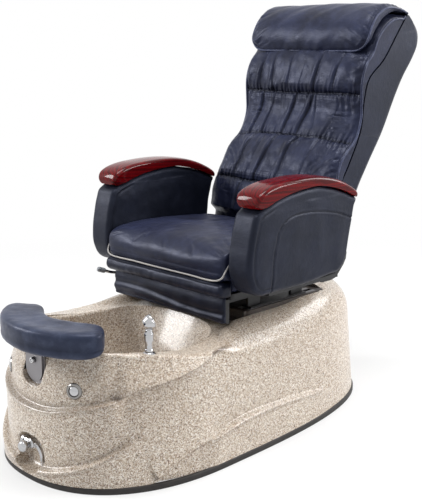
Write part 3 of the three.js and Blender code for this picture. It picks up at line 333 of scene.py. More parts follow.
def tube(path, radius, around=10):
    """Points and faces of a round tube with domed ends."""
    p = np.asarray(path, float)
    tangent, side, up = frames(p)
    start = [p[0] - tangent[0] * radius * math.sin(a) for a in DOME_ANGLES]
    end = [p[-1] + tangent[-1] * radius * math.sin(a) for a in reversed(DOME_ANGLES)]
    dome = [radius * math.cos(a) for a in DOME_ANGLES]
    radii = np.concatenate([dome, np.full(len(p), float(radius)), dome[::-1]])
    p = np.vstack([start, p, end])
    count = len(DOME_ANGLES)
    side = np.vstack([side[:1]] * count + [side] + [side[-1:]] * count)
    up = np.vstack([up[:1]] * count + [up] + [up[-1:]] * count)
    angle = stations(around)
    ring = np.cos(angle)[None, :, None] * side[:, None, :] + np.sin(angle)[None, :, None] * up[:, None, :]
    return loft(p[:, None, :] + radii[:, None, None] * ring)


def joined(*parts):
    """Several shapes as one."""
    points, faces, offset = [], [], 0
    for part_points, part_faces in parts:
        points.append(np.asarray(part_points, float))
        faces.extend(tuple(i + offset for i in f) for f in part_faces)
        offset += len(part_points)
    return np.vstack(points), faces


def moved(shape, matrix):
    points, faces = shape
    turn = np.array(matrix.to_3x3())
    return np.asarray(points) @ turn.T + np.array(matrix.translation), faces


def rotated(axis, angle):
    return Matrix.Rotation(angle, 4, axis)


def shifted(x, y, z):
    return Matrix.Translation((x, y, z))


def baked(obj):
    """Puts the object's modifiers into its mesh."""
    graph = bpy.context.evaluated_depsgraph_get()
    old = obj.data
    obj.data = bpy.data.meshes.new_from_object(obj.evaluated_get(graph))
    obj.modifiers.clear()
    bpy.data.meshes.remove(old)


def boolean(target, tool):
    """Cuts a closed mesh out of another, and removes it."""
    modifier = target.modifiers.new("cut", "BOOLEAN")
    modifier.operation = "DIFFERENCE"
    modifier.solver = "MANIFOLD"
    modifier.object = tool
    baked(target)
    bpy.data.objects.remove(tool)
    bpy.context.view_layer.update()


def scratch(shape):
    return piece("scratch", *shape, None)


# ---------------------------------------------------------------- materials
class Tree:
    """The nodes of a material or world."""

    def __init__(self, owner):
        owner.use_nodes = True
        self.tree = owner.node_tree

    def add(self, kind, **settings):
        node = self.tree.nodes.new(kind)
        for key, value in settings.items():
            setattr(node, key, value)
        return node

    def link(self, source, target):
        self.tree.links.new(source, target)

    def maths(self, operation, a, b):
        node = self.add("ShaderNodeMath", operation=operation)
        for socket, value in ((node.inputs[0], a), (node.inputs[1], b)):
            if isinstance(value, (int, float)):
                socket.default_value = value
            else:
                self.link(value, socket)
        return node.outputs[0]

    def span(self, source, low, high):
        node = self.add("ShaderNodeMapRange")
        self.link(source, node.inputs["Value"])
        node.inputs["To Min"].default_value = low
        node.inputs["To Max"].default_value = high
        return node.outputs["Result"]

    def seen(self):
        """1 for what the camera sees, and what metal and glass show it."""
        rays = self.add("ShaderNodeLightPath").outputs
        seen = self.maths("MAXIMUM", rays["Is Camera Ray"], rays["Is Glossy Ray"])
        return self.maths("MAXIMUM", seen, rays["Is Transmission Ray"])


class Nodes(Tree):
    """A node material under construction."""

    def __init__(self, name):
        self.material = bpy.data.materials.new(name)
        super().__init__(self.material)
        self.shader = self.tree.nodes["Principled BSDF"]
        self.coordinates = self.add("ShaderNodeTexCoord").outputs["Object"]

    def scaled(self, x, y, z):
        node = self.add("ShaderNodeMapping")
        self.link(self.coordinates, node.inputs["Vector"])
        node.inputs["Scale"].default_value = (x, y, z)
        return node.outputs["Vector"]

    def noise(self, scale, detail=3, vector=None, rough=0.5):
        node = self.add("ShaderNodeTexNoise")
        self.link(vector or self.coordinates, node.inputs["Vector"])
        node.inputs["Scale"].default_value = scale
        node.inputs["Detail"].default_value = detail
        node.inputs["Roughness"].default_value = rough
        return node.outputs["Fac"]

    def cells(self, scale, output="Color", feature="F1", vector=None):
        node = self.add("ShaderNodeTexVoronoi", feature=feature)
        self.link(vector or self.coordinates, node.inputs["Vector"])
        node.inputs["Scale"].default_value = scale
        return node.outputs[output]

    def ramp(self, source, stops, interpolation="LINEAR"):
        node = self.add("ShaderNodeValToRGB")
        node.color_ramp.interpolation = interpolation
        elements = node.color_ramp.elements
        while len(elements) < len(stops):
            elements.new(0.5)
        for element, (at, colour) in zip(elements, stops):
            element.position = at
            element.color = (*colour, 1)
        self.link(source, node.inputs["Fac"])
        return node.outputs["Color"]

    def mask(self, source, low, high):
        """Black up to the low value and white from the high one."""
        return self.ramp(source, [(low, (0, 0, 0)), (high, (1, 1, 1))])

    def blend(self, factor, a, b, kind="MIX"):
        node = self.add("ShaderNodeMix", data_type="RGBA", blend_type=kind)
        if isinstance(factor, float):
            node.inputs[0].default_value = factor
        else:
            self.link(factor, node.inputs[0])
        for socket, value in ((node.inputs[6], a), (node.inputs[7], b)):
            if isinstance(value, tuple):
                socket.default_value = (*value, 1)
            else:
                self.link(value, socket)
        return node.outputs[2]

    def times(self, a, b):
        return self.maths("MULTIPLY", a, b)

    def attribute(self, name):
        node = self.add("ShaderNodeAttribute", attribute_name=name)
        return node.outputs["Fac"]

    def bumps(self, *layers):
        """Stacked bumps: (height, strength, distance in metres)."""
        normal = None
        for height, strength, distance in layers:
            node = self.add("ShaderNodeBump")
            node.inputs["Strength"].default_value = strength
            node.inputs["Distance"].default_value = distance
            self.link(height, node.inputs["Height"])
            if normal is not None:
                self.link(normal, node.inputs["Normal"])
            normal = node.outputs["Normal"]
        self.link(normal, self.shader.inputs["Normal"])

    def set(self, **values):
        for key, value in values.items():
            socket = self.shader.inputs[key.replace("_", " ")]
            if isinstance(value, (int, float, tuple)):
                socket.default_value = (*value, 1) if isinstance(value, tuple) else value
            else:
                self.link(value, socket)
        return self.material


def linear(value):
    return value / 255 / 12.92 if value <= 10 else ((value / 255 + 0.055) / 1.055) ** 2.4


def srgb(red, green, blue):
    """The linear colour of three 8-bit values."""
    return linear(red), linear(green), linear(blue)


def leather(name, tones, rough, sheen):
    """Grained leather: two tones in soft patches, paler where it is worn, with painted shade in its creases
    and seams.
    """
    n = Nodes(name)
    deep, plain, worn = (srgb(*tone) for tone in tones)
    patches = n.ramp(n.noise(9, 4), [(0.32, deep), (0.62, plain)])
    rubbed = n.mask(n.noise(34, 5), 0.5, 0.78)
    colour = n.blend(n.times(rubbed, 0.3), patches, worn)
    pores = n.cells(620, "Distance")
    colour = n.blend(n.times(n.mask(pores, 0.3, 0.75), 0.22), colour, deep)
    # painted shade: much darker where the mesh marks a crease, seam or pleat
    fold_shade = n.attribute("crease_shade")
    colour = n.blend(n.times(fold_shade, 0.85), colour, tuple(0.22 * c for c in deep))
    grain = n.cells(520, "Distance", "SMOOTH_F1")
    fine = n.noise(1500, 2)
    wrinkle = n.noise(46, 5, n.scaled(1.0, 1.6, 1.3), 0.62)
    n.bumps((wrinkle, 0.22, 0.004), (grain, 0.32, 0.0006), (fine, 0.2, 0.0003))
    roughness = n.span(n.maths("ADD", n.noise(26, 3), n.times(grain, 0.35)), rough - 0.1, rough + 0.16)
    n.set(Base_Color=colour, Roughness=roughness, Sheen_Weight=sheen, Sheen_Roughness=0.5)
    n.set(Sheen_Tint=srgb(140, 150, 225), Specular_IOR_Level=0.24, Specular_Tint=(0.7, 0.75, 1.0))
    return n.material


def flecked(name, tones, fine_tones, rough, coat):
    """Sprayed stone-fleck gelcoat: coarse and fine grains of several colours under a clear skin, browner
    where shade is painted in.
    """
    n = Nodes(name)
    tones, fine_tones = ([(at, srgb(*tone)) for at, tone in group] for group in (tones, fine_tones))
    warp = n.noise(180, 2)
    place = n.add("ShaderNodeVectorMath", operation="ADD")
    n.link(n.coordinates, place.inputs[0])
    shift = n.add("ShaderNodeVectorMath", operation="SCALE")
    node = n.add("ShaderNodeTexNoise")
    node.inputs["Scale"].default_value = 260
    n.link(n.coordinates, node.inputs["Vector"])
    n.link(node.outputs["Color"], shift.inputs[0])
    shift.inputs["Scale"].default_value = 0.004
    n.link(shift.outputs["Vector"], place.inputs[1])
    at = place.outputs["Vector"]
    coarse = n.ramp(n.cells(330, vector=at), tones, "CONSTANT")
    fine = n.ramp(n.cells(560, vector=at), fine_tones, "CONSTANT")
    grain = n.blend(n.mask(n.noise(300, 2), 0.46, 0.54), coarse, fine)
    soft = n.ramp(n.noise(5, 3), [(0.3, (0.86, 0.84, 0.83)), (0.7, (0.95, 0.95, 0.95))])
    colour = n.blend(1.0, grain, soft, "MULTIPLY")
    # painted shade: browner where the tub marks shade along its waves
    painted_wave_shade = n.attribute("crease_shade")
    colour = n.blend(n.times(painted_wave_shade, 0.8), colour, srgb(84, 66, 52))
    n.bumps((n.noise(24, 3), 0.10, 0.002), (warp, 0.10, 0.0006))
    n.set(Base_Color=colour, Roughness=n.span(n.noise(60, 4), rough - 0.06, rough + 0.12))
    n.set(Coat_Weight=coat, Coat_Roughness=0.13, Specular_IOR_Level=0.4)
    return n.material


def metal(name, colour, rough, streak, smudge):
    """Plated or brushed metal with smudges; streak stretches its fine lines."""
    n = Nodes(name)
    vector = n.scaled(*streak) if streak else n.coordinates
    lines = n.noise(900 if streak else 140, 4, vector)
    marks = n.noise(30, 5)
    tone = n.blend(n.times(marks, 0.35), colour, tuple(0.8 * c for c in colour))
    n.bumps((lines, 0.12 if streak else 0.03, 0.0004))
    rougher = n.maths("ADD", n.times(lines, 0.5), n.times(marks, 0.5))
    n.set(Base_Color=tone, Metallic=1.0, Roughness=n.span(rougher, rough, rough + smudge * 2))
    return n.material


def moulded(name, colour, pale, rough, grain=900, metallic=0.0):
    """Moulded plastic, rubber or powder coat, with its fine texture and a little wear."""
    n = Nodes(name)
    colour, pale = srgb(*colour), srgb(*pale)
    worn = n.mask(n.noise(40, 5), 0.48, 0.8)
    tone = n.blend(n.times(worn, 0.5), colour, pale)
    dots = n.noise(grain, 2)
    n.bumps((n.noise(60, 3), 0.08, 0.002), (dots, 0.25, 0.0004))
    n.set(Base_Color=tone, Metallic=metallic, Roughness=n.span(n.noise(90, 3), rough - 0.06, rough + 0.1))
    return n.material


def lacquered_wood(name):
    """Red-stained wood with its grain along the arm, under a clear lacquer."""
    n = Nodes(name)
    along_arm = n.scaled(26, 2.2, 26)
    warp = n.noise(2.0, 3, along_arm)
    rings = n.add("ShaderNodeTexWave", wave_type="BANDS", bands_direction="DIAGONAL")
    n.link(along_arm, rings.inputs["Vector"])
    rings.inputs["Scale"].default_value = 0.9
    rings.inputs["Distortion"].default_value = 7
    rings.inputs["Detail"].default_value = 3
    tones = [(0.1, srgb(62, 2, 5)), (0.55, srgb(108, 4, 9)), (0.9, srgb(80, 3, 7))]
    grain = n.ramp(rings.outputs["Fac"], tones)
    pores = n.noise(60, 4, n.scaled(60, 3, 60), 0.7)
    pore_mark = n.mask(pores, 0.55, 0.7)
    colour = n.blend(n.times(pore_mark, 0.45), grain, srgb(58, 6, 8))
    colour = n.blend(n.times(warp, 0.2), colour, srgb(108, 10, 14))
    n.bumps((pores, 0.05, 0.0004))
    n.set(Base_Color=colour, Roughness=n.span(n.noise(20, 3), 0.16, 0.28))
    n.set(Coat_Weight=0.5, Coat_Roughness=0.05, Coat_IOR=1.36, Specular_IOR_Level=0.04)
    return n.material


navy = leather("navy_leather", ((14, 16, 28), (32, 36, 55), (60, 66, 94)), 0.32, 0.04)
# painted shade: a darker copy of the navy leather for the arms and the back shell
shaded_navy_leather = leather("navy_leather_painted_shade", ((14, 17, 25), (24, 27, 38), (42, 47, 62)), 0.4, 0.02)
dark_leather = leather("dark_leather", ((9, 11, 19), (20, 23, 36), (44, 49, 72)), 0.3, 0.03)
# painted sheen: a paler copy of the navy leather for the footrest, standing in for the light on its top
lit_foot_leather = leather("footrest_leather_painted_sheen", ((28, 32, 46), (50, 57, 76), (96, 105, 128)), 0.28, 0.05)
# painted highlight: a paler navy for the back and pillow piping, standing in for the light line along it
lit_navy_piping = leather("navy_piping_painted_highlight", ((30, 33, 48), (60, 65, 88), (120, 126, 146)), 0.26, 0.12)
piping_light = leather("light_piping", ((150, 148, 146), (186, 182, 176), (214, 210, 202)), 0.4, 0.1)
# stops of a random value, each with the 8-bit colour of the flecks from there on
STONE = [
    (0.0, (206, 191, 172)), (0.28, (180, 161, 140)), (0.44, (232, 224, 212)), (0.57, (142, 118, 97)),
    (0.70, (246, 241, 234)), (0.82, (98, 76, 60)), (0.91, (58, 46, 40)),
]
STONE_FINE = [
    (0.0, (212, 198, 180)), (0.32, (188, 169, 149)), (0.50, (244, 238, 228)), (0.65, (124, 101, 82)),
    (0.78, (220, 206, 188)), (0.87, (72, 57, 48)),
]
stone = flecked("stone_fleck_gelcoat", STONE, STONE_FINE, 0.34, 0.5)
# painted shadow: dark brown flecks for the seat plinth, a dark part standing in for the shade under the seat
PLINTH_SHADOW_TONES = [
    (0.0, (48, 39, 34)), (0.36, (62, 50, 43)), (0.62, (36, 29, 26)), (0.84, (84, 70, 60)),
    (0.95, (112, 98, 86)),
]
plinth_shadow = flecked("plinth_painted_shadow", PLINTH_SHADOW_TONES, PLINTH_SHADOW_TONES, 0.5, 0.05)
cherry = lacquered_wood("cherry_lacquer")
chrome = metal("chrome", (0.5, 0.5, 0.51), 0.05, None, 0.05)
# painted shade: a darker copy of the chrome for the button bezels, standing in for their dark reflections and
# shadow
shaded_chrome = metal("button_chrome", (0.27, 0.26, 0.25), 0.12, None, 0.08)
steel = metal("brushed_steel", (0.26, 0.25, 0.26), 0.3, (1, 1, 0.03), 0.1)
black_steel = moulded("black_powder_coat", (20, 20, 23), (46, 46, 50), 0.42, 1200, 0.2)
black_plastic = moulded("black_plastic", (24, 24, 27), (48, 48, 52), 0.5)
black_rubber = moulded("black_rubber", (30, 27, 26), (58, 52, 49), 0.62, 700)
pale_rubber = moulded("grey_rubber", (116, 120, 126), (150, 153, 158), 0.5, 800)
SLOT_MATERIALS = {
    "stone": stone, "black_rubber": black_rubber, "brown_base": plinth_shadow, "black_steel": black_steel,
    "grey_steel": steel, "chrome": chrome, "leather_navy": navy, "leather_dark": dark_leather,
    "cherry_wood": cherry, "black_plastic": black_plastic, "pale_rubber": pale_rubber,
}

# every CAD node takes the finish of its slot; those that are replaced below are hidden there
for subpart in frame["record"]["subparts"]:
    mesh = frame["nodes"][subpart["node"]].data
    mesh.materials.clear()
    mesh.materials.append(SLOT_MATERIALS[subpart["material_slot"]])


# ---------------------------------------------------------------- camera, floor and light
camera = bpy.data.objects.new("camera", bpy.data.cameras.new("camera"))
scene.collection.objects.link(camera)
camera.location = (2.0865, (-1795.4 + SHIFT) / 1000, 1.2154)
camera.rotation_euler = (math.radians(77.205), 0, math.radians(45.066))
camera.data.lens = 66.4
camera.data.sensor_width = 36
scene.camera = camera


FLOOR_REACH, FLOOR_HEIGHT = 40, -0.0005


def pale_floor():
    """A wide pale floor that keeps the object's shadow and runs out to white."""
    n = Nodes("pale_floor")
    output = n.tree.nodes["Material Output"]
    n.set(Base_Color=srgb(240, 240, 240), Roughness=0.9)
    glow = n.add("ShaderNodeEmission")
    glow.inputs["Strength"].default_value = 1.0
    seen = n.seen()
    far = n.add("ShaderNodeVectorMath", operation="LENGTH")
    n.link(n.coordinates, far.inputs[0])
    fade = n.add("ShaderNodeMapRange")
    n.link(far.outputs["Value"], fade.inputs["Value"])
    for key, value in (("From Min", 1.1), ("From Max", 3.0), ("To Min", 0.62), ("To Max", 1.0)):
        fade.inputs[key].default_value = value
    share = n.times(seen, fade.outputs["Result"])
    blend = n.add("ShaderNodeMixShader")
    n.link(share, blend.inputs[0])
    n.link(n.shader.outputs[0], blend.inputs[1])
    n.link(glow.outputs[0], blend.inputs[2])
    n.link(blend.outputs[0], output.inputs["Surface"])
    mesh = bpy.data.meshes.new("floor")
    r = FLOOR_REACH
    mesh.from_pydata([(-r, -r, 0), (r, -r, 0), (r, r, 0), (-r, r, 0)], [], [(0, 1, 2, 3)])
    floor = bpy.data.objects.new("floor", mesh)
    floor.location.z = FLOOR_HEIGHT
    mesh.materials.append(n.material)
    scene.collection.objects.link(floor)


def studio():
    """A soft white surround and four large lamps."""
    world = bpy.data.worlds.new("studio")
    scene.world = world
    n = Tree(world)
    back = n.tree.nodes["Background"]
    back.inputs["Color"].default_value = (1, 1, 1, 1)
    n.link(n.span(n.seen(), WORLD_LEVEL, 1.0), back.inputs["Strength"])
    for name, place, aim, size, power in LAMPS:
        data = bpy.data.lights.new(name, "AREA")
        data.shape = "RECTANGLE"
        data.size, data.size_y = size
        data.energy = power
        lamp = bpy.data.objects.new(name, data)
        lamp.location = place
        lamp.rotation_euler = (Vector(aim) - Vector(place)).to_track_quat("-Z", "Y").to_euler()
        scene.collection.objects.link(lamp)


WORLD_LEVEL = 0.25
LAMPS = (
    ("front_lamp", (-3.1, -2.9, 2.4), (0, -0.1, 0.5), (1.2, 1.8), 140),
    ("side_lamp", (3.0, 2.4, 2.2), (0, 0, 0.5), (1.2, 1.8), 108),
    ("top_lamp", (0.2, -0.2, 3.9), (0, 0.0, 0.4), (1.8, 1.8), 110),
    ("rear_lamp", (0.9, 3.3, 2.6), (0, 0.3, 0.7), (1.4, 1.8), 50),
)
scene.view_settings.view_transform = "Standard"
pale_floor()
studio()


# ---------------------------------------------------------------- tub
HALF_WIDTH, FRONT, REAR = 357.0, 454.0, 862.0
WALL, DRAFT = 7.0, 0.08
FRONT_CURVE, REAR_CURVE = 2.31, 2.94
BASIN = {
    "centre": -97.0, "half_length": 255.0, "half_width": 238.0, "curve": 2.8, "slope": 0.42,
    "floor": 118.0, "bend": 200, "rim": 350,
}
NICHE = {"half": 62.0, "foot": 20.0, "top": 128.0, "depth": 46.0}
NICHE_FLOOR, PLINTH_FLOOR = 19.0, 368.0
HANGER_FACE, STRAP_HALF, STRAP_FOOT = -416.0, 39.0, 282.0
SKIN_FOOT = 18.3  # where the skin starts, on the foot trim
BEFORE_TUB, ABOVE_TUB = -500.0, 470.0
# lines of the waves along the wall, as Y and Z
UPPER_WAVE = spline([
    [-454, 217], [-418, 238], [-375, 252], [-326, 268], [-278, 288], [-184, 303], [-80, 322], [-30, 338],
    [6, 350],
], 90)
FRONT_WAVE = spline([[-454, 42], [-430, 61], [-385, 90], [-334, 127], [-262, 170]], 60)
SIDE_WAVE = spline([
    [-238, 24], [-207, 52], [-139, 85], [-64, 100], [40, 121], [110, 128], [285, 124], [495, 101], [862, 70],
], 120)


def top_height(y):
    """Height of the deck's edge."""
    return mix(384.0, 350.0, smooth(-360, -20, y)) + 36 * smooth(10, 180, y) + 26 * smooth(400, 700, y)


def dip(y):
    """How far the deck lies below its edge."""
    return 25 * smooth(10, 170, y) * (1 - 0.6 * smooth(220, 420, y)) * (1 - smooth(420, 620, y))


def shoulder(y):
    """Radius from the wall to the deck."""
    return 12 + 88 * smooth(-20, 190, y) + 22 * smooth(480, 700, y)


def wall_inset(y, z):
    """How far the wall leans in."""
    return DRAFT * z + 0.35 * (1 - smooth(-80, 40, y)) * np.maximum(0, z - 300)


def upper_wave(y):
    return along(UPPER_WAVE, y)


def lower_wave(y):
    return mix(along(FRONT_WAVE, y), along(SIDE_WAVE, y), smooth(-300, -230, y))


def wave_sizes(y):
    """Height and size of each wave: a positive one overhangs, a negative one steps out below."""
    upper = mix(-9.5, 12.0, smooth(-345, -312, y)) * (1 - smooth(0, 70, y))
    front = -9.5 * (1 - smooth(-350, -270, y))
    side = mix(10.0, -9.5, smooth(-90, -30, y)) * smooth(-270, -225, y) * (1 - smooth(380, 560, y))
    return (upper_wave(y), upper), (lower_wave(y), front + side)


def shade_waves(tub):
    """Paints shade along each wave: under one that overhangs, and fainter below one that steps out."""
    co = read_points(tub.data) - (0, SHIFT, 0)
    normal = read_normals(tub.data)
    x, y, z = co.T
    outside = normal[:, 0] * x + normal[:, 1] * (y + 100) > 0
    shade = np.zeros(len(x))
    for height, size in wave_sizes(y):
        above = z - height
        shade += np.clip(size / 9, 0, 1) * bell(above + 3, 5.5)
        shade += 0.45 * np.clip(-size / 11, 0, 1) * bell(above + 9, 5)
    store(tub, "crease_shade", np.clip(shade * outside, 0, 1))


def relief(y, z):
    """How far the waves draw the wall in."""
    total = 0
    for height, size in wave_sizes(y):
        above = z - height
        edge = np.tanh(above / 3.0) / math.tanh(2.0)
        total = total - size * np.clip(edge, -1, 1) * np.exp(-np.maximum(0, np.abs(above) - 6) / 60)
    return total


def outline(turn, distance, half=HALF_WIDTH, front=FRONT, rear=REAR, curves=(FRONT_CURVE, REAR_CURVE)):
    """X and Y of an outline at angles from the rear, moved in by a distance."""
    c, s = np.cos(turn), np.sin(turn)
    power = np.where(c > 0, curves[1], curves[0])
    length = np.where(c > 0, rear, front) - distance
    reach = (np.abs(s) ** power + np.abs(c) ** power) ** (-1 / power)
    return -(half - distance) * s * reach, length * c * reach


def ring(turn, distance, z):
    return row(*outline(turn, distance), z)


def tub_outside():
    """The skin from the foot trim up the wall, over the shoulder and across the deck."""
    turn = stations(300)
    y = outline(turn, 0)[1]
    edge = top_height(y) - shoulder(y)
    low = np.maximum(lower_wave(y), SKIN_FOOT + 9)
    high = np.maximum(np.minimum(upper_wave(y), edge - 20), low + 18)
    spans = [
        (np.full_like(y, SKIN_FOOT), low - 8, 7), (low - 8, low + 8, 9), (low + 8, high - 8, 12),
        (high - 8, high + 8, 9), (high + 8, edge, 9),
    ]
    rings = []
    for a, b, steps in spans:
        for t in np.linspace(0, 1, steps, endpoint=False):
            z = mix(a, b, t)
            rings.append(ring(turn, wall_inset(y, z) + relief(y, z), z))
    radius = shoulder(y)
    for t in np.linspace(0, 1, 15):
        a = t * math.pi / 2
        move = wall_inset(y, edge) + relief(y, edge) * math.cos(a) + radius * (1 - math.cos(a))
        rings.append(ring(turn, move, edge + radius * math.sin(a)))
    for t in np.linspace(0, 1, 9)[1:]:
        move = wall_inset(y, edge) + radius + (12 * t + 24 * t * smooth(0, 120, y))
        rings.append(ring(turn, move, top_height(y) - dip(y) * (0.5 - 0.5 * math.cos(math.pi * t))))
    return loft(rings, "mirror")


def tub_inside():
    """The hollow under the skin."""
    turn = stations(64)
    y = outline(turn, 0)[1]
    edge = top_height(y) - shoulder(y)
    inset = WALL + 8
    rings = [ring(turn, wall_inset(y, np.maximum(z, 0)) + inset, z) for z in (-5 + 0 * y, 0.5 * edge, edge)]
    ceiling = np.minimum(top_height(y) - dip(y) - WALL - 3, PLINTH_FLOOR - WALL)
    for t in (0.5, 1.0):
        a = t * math.pi / 2
        z = np.minimum(edge + np.maximum(0, shoulder(y) * math.sin(a) - WALL), ceiling)
        rings.append(ring(turn, wall_inset(y, edge) + inset + shoulder(y) * (1 - math.cos(a)), z))
    return loft(rings, "mirror")


BASIN_WALL = spline([[350, 0], [200, 16], [150, 27], [128, 46], [119, 66], [118, 92]], 24)


def basin_hollow(grow=0.0, lip=9.0):
    """The foot basin as a solid, up to above the tub; a lip rounds its rim over."""
    turn = stations(150)
    floor, bend, rim = BASIN["floor"], BASIN["bend"], BASIN["rim"]
    half_length, half_width = BASIN["half_length"] + grow, BASIN["half_width"] + grow

    def level(distance, lean=rim):
        rear = half_length - BASIN["slope"] * np.clip(rim - lean, 0, 212)
        x, y = outline(turn, distance, half_width, half_length, rear, (BASIN["curve"], BASIN["curve"]))
        return x, y + BASIN["centre"]

    top = top_height(level(0)[1])
    rings = []
    for z, distance in reversed(BASIN_WALL):
        share = (z - 118) / (rim - 118)
        height = mix(floor, top - lip, share) if z > bend else z + share * (top - lip - rim)
        drop = grow * (1 - float(smooth(floor, bend, z)))
        rings.append(row(*level(distance, z), height - drop))
    if lip:
        for t in np.linspace(0, 1, 8)[1:]:
            a = t * math.pi / 2
            x, y = level(-lip * (1 - math.cos(a)))
            rings.append(row(x, y, top_height(y) - lip + lip * math.sin(a)))
        x, y = level(-lip - 6)
        rings.append(row(x, y, top_height(y) + 1.2))
    rings.append(row(*level(-lip - 8), ABOVE_TUB))
    return loft(rings)


def wall_y(x, z):
    """Y of the front wall at a place seen from the front."""
    y = np.full(np.shape(x), -FRONT)
    for _ in range(60):
        shrink = wall_inset(y, z) + relief(y, z)
        share = np.minimum(np.abs(x) / (HALF_WIDTH - shrink), 0.999)
        y = -(FRONT - shrink) * (1 - share**FRONT_CURVE) ** (1 / FRONT_CURVE)
    return y


def mouth(outline_at, radius):
    """Rings that flare an opening in the front wall.

    outline_at(s) is the opening's outline drawn in by s, as X and Z.
    """
    x, z = outline_at(-radius - 4)
    rings = [row(x, BEFORE_TUB - 20, z), row(x, wall_y(x, z) - 1.0, z)]
    for t in np.linspace(0, 1, 6):
        a = t * math.pi / 2
        x, z = outline_at(-radius * (1 - math.sin(a)))
        rings.append(row(x, wall_y(x, z) + radius * (1 - math.cos(a)), z))
    return rings


def pocket(outline_at, radius, grow, levels):
    """A hollow into the front wall, from its (depth, shrink) levels. Only one that isn't grown flares."""
    x, z = outline_at(0)
    rings = [row(x, BEFORE_TUB, z)] if grow else mouth(outline_at, radius)
    for y, shrink in levels:
        x, z = outline_at(shrink)
        rings.append(row(x, y, z))
    return loft(rings)


def niche_hollow(grow=0.0):
    """The niche of the drain valve."""
    half, middle = NICHE["half"] + grow, (NICHE["foot"] + NICHE["top"]) / 2
    tall = (NICHE["top"] - NICHE["foot"]) / 2 + grow
    turn = stations(96)

    def at(shrink):
        c, s = np.cos(turn), np.sin(turn)
        power = 2 / 2.6
        x = np.sign(c) * np.abs(c) ** power * (half - shrink)
        return x, np.maximum(middle + np.sign(s) * np.abs(s) ** power * (tall - shrink), NICHE_FLOOR)

    deepest = -FRONT + NICHE["depth"] + grow
    levels = [(-14, 0), (-9, 1.5), (-4, 5), (-1, 9), (0, 14)]
    return pocket(at, 5.0, grow, [(deepest + y, shrink) for y, shrink in levels])


def hanger_recess(grow=0.0):
    """The recess of the footrest's hanger, open at the top."""
    half, foot = STRAP_HALF + 8 + grow, STRAP_FOOT - 12 - grow
    deep = HANGER_FACE + 5 + 4 + 0.9 + grow

    def at(shrink):
        arch = np.linspace(math.pi, 2 * math.pi, 40)
        x = np.concatenate([[half - shrink, -half + shrink], (half - shrink) * np.cos(arch)])
        z = np.concatenate([[ABOVE_TUB, ABOVE_TUB], foot + 34 + (34 - shrink) * np.sin(arch)])
        return x, z

    return pocket(at, 4.0, grow, [(deep, 0)])


def plain_box(x0, x1, y0, y1, z0, z1):
    points = [(x, y, z) for x in (x0, x1) for y in (y0, y1) for z in (z0, z1)]
    return points, [(0, 1, 3, 2), (4, 6, 7, 5), (0, 4, 5, 1), (2, 3, 7, 6), (0, 2, 6, 4), (1, 5, 7, 3)]


def rod(radius, low, high, sides=48):
    return turned([(0, low), (radius, low), (radius, high), (0, high)], sides)


def basin_wall(y, z):
    """Half width of the basin."""
    distance = mix(15, 0, (z - 210) / 140) if z > 210 else 15
    share = abs(y - BASIN["centre"]) / (BASIN["half_length"] - distance)
    return (BASIN["half_width"] - distance) * (1 - share ** BASIN["curve"]) ** (1 / BASIN["curve"])


def on_basin_wall(side, y, z):
    """A frame on the basin's wall, its Z into the basin."""
    ahead = (basin_wall(y + 5, z) - basin_wall(y - 5, z)) / 10
    turn = rotated("Z", -side * math.atan(ahead)) @ rotated("Y", -side * math.pi / 2)
    return shifted(side * basin_wall(y, z), y, z) @ turn


SUCTION_HEIGHT = 200
SUCTION_Y = BASIN["centre"] + BASIN["half_length"] - 17 - BASIN["slope"] * (BASIN["rim"] - SUCTION_HEIGHT)
SUCTION_PLACE = shifted(0, SUCTION_Y, SUCTION_HEIGHT) @ rotated("X", math.atan(1 / (BASIN["slope"] + 0.22)))
DRAIN_PLACE = shifted(0, -200, BASIN["floor"])
OVERFLOW_PLACE = on_basin_wall(-1, -165, 318)
BUTTON_X, BUTTON_Z, BUTTON_SINK = 153.0, 285.0, 7.0


def button_frame(side):
    """A frame at a button's seat on the front wall, its Z out of the tub."""
    ahead = [float(wall_y(np.array(BUTTON_X + d), BUTTON_Z)) for d in (-4, 0, 4)]
    turn = rotated("Z", side * math.atan((ahead[2] - ahead[0]) / 8))
    turn = turn @ rotated("X", math.pi / 2 - math.atan(DRAFT)) @ shifted(0, 0, -BUTTON_SINK)
    return shifted(side * BUTTON_X, ahead[1], BUTTON_Z) @ turn


SPRAYER_X, SPRAYER_Y = 250.0, -205.0
SPRAYER_SEAT = float(top_height(SPRAYER_Y)) - 1
JET_HEIGHT = 236
JETS = [
    (f"jet_{name}_{end}", on_basin_wall(side, y, JET_HEIGHT))
    for name, y in (("front", -250), ("rear", -20)) for end, side in SIDES
]


def make_tub():
    hollow = scratch(tub_inside())
    for space in (basin_hollow(WALL, 0.0), niche_hollow(WALL), hanger_recess(WALL)):
        boolean(hollow, scratch(space))
    tub = scratch(tub_outside())
    tub.name = "tub_skin"
    boolean(tub, hollow)
    # room for the dark plinth part, which stands in for the shade under the seat
    shadow_plinth = plain_box(-224, 224, 206, 596, PLINTH_FLOOR, 500)
    holes = [basin_hollow(), niche_hollow(), hanger_recess(), shadow_plinth]
    seats = [(place, 17, 24) for _, place in JETS]
    seats += [(OVERFLOW_PLACE, 8, 15), (shifted(SPRAYER_X, SPRAYER_Y, SPRAYER_SEAT), 11, 19)]
    seats += [(button_frame(side), 18, 23) for _, side in SIDES]
    for place, bore, flange in seats:
        holes += [moved(rod(bore + 0.9, -45, 12), place), moved(rod(flange + 0.8, 0, 24), place)]
    holes += [moved(rod(48, 0, 40), SUCTION_PLACE), moved(rod(21, -40, 20), DRAIN_PLACE)]
    for hole in holes:
        boolean(tub, scratch(hole))
    finish_piece(tub, stone, "tub", ["tub_shell"], 38)
    shade_waves(tub)


make_tub()


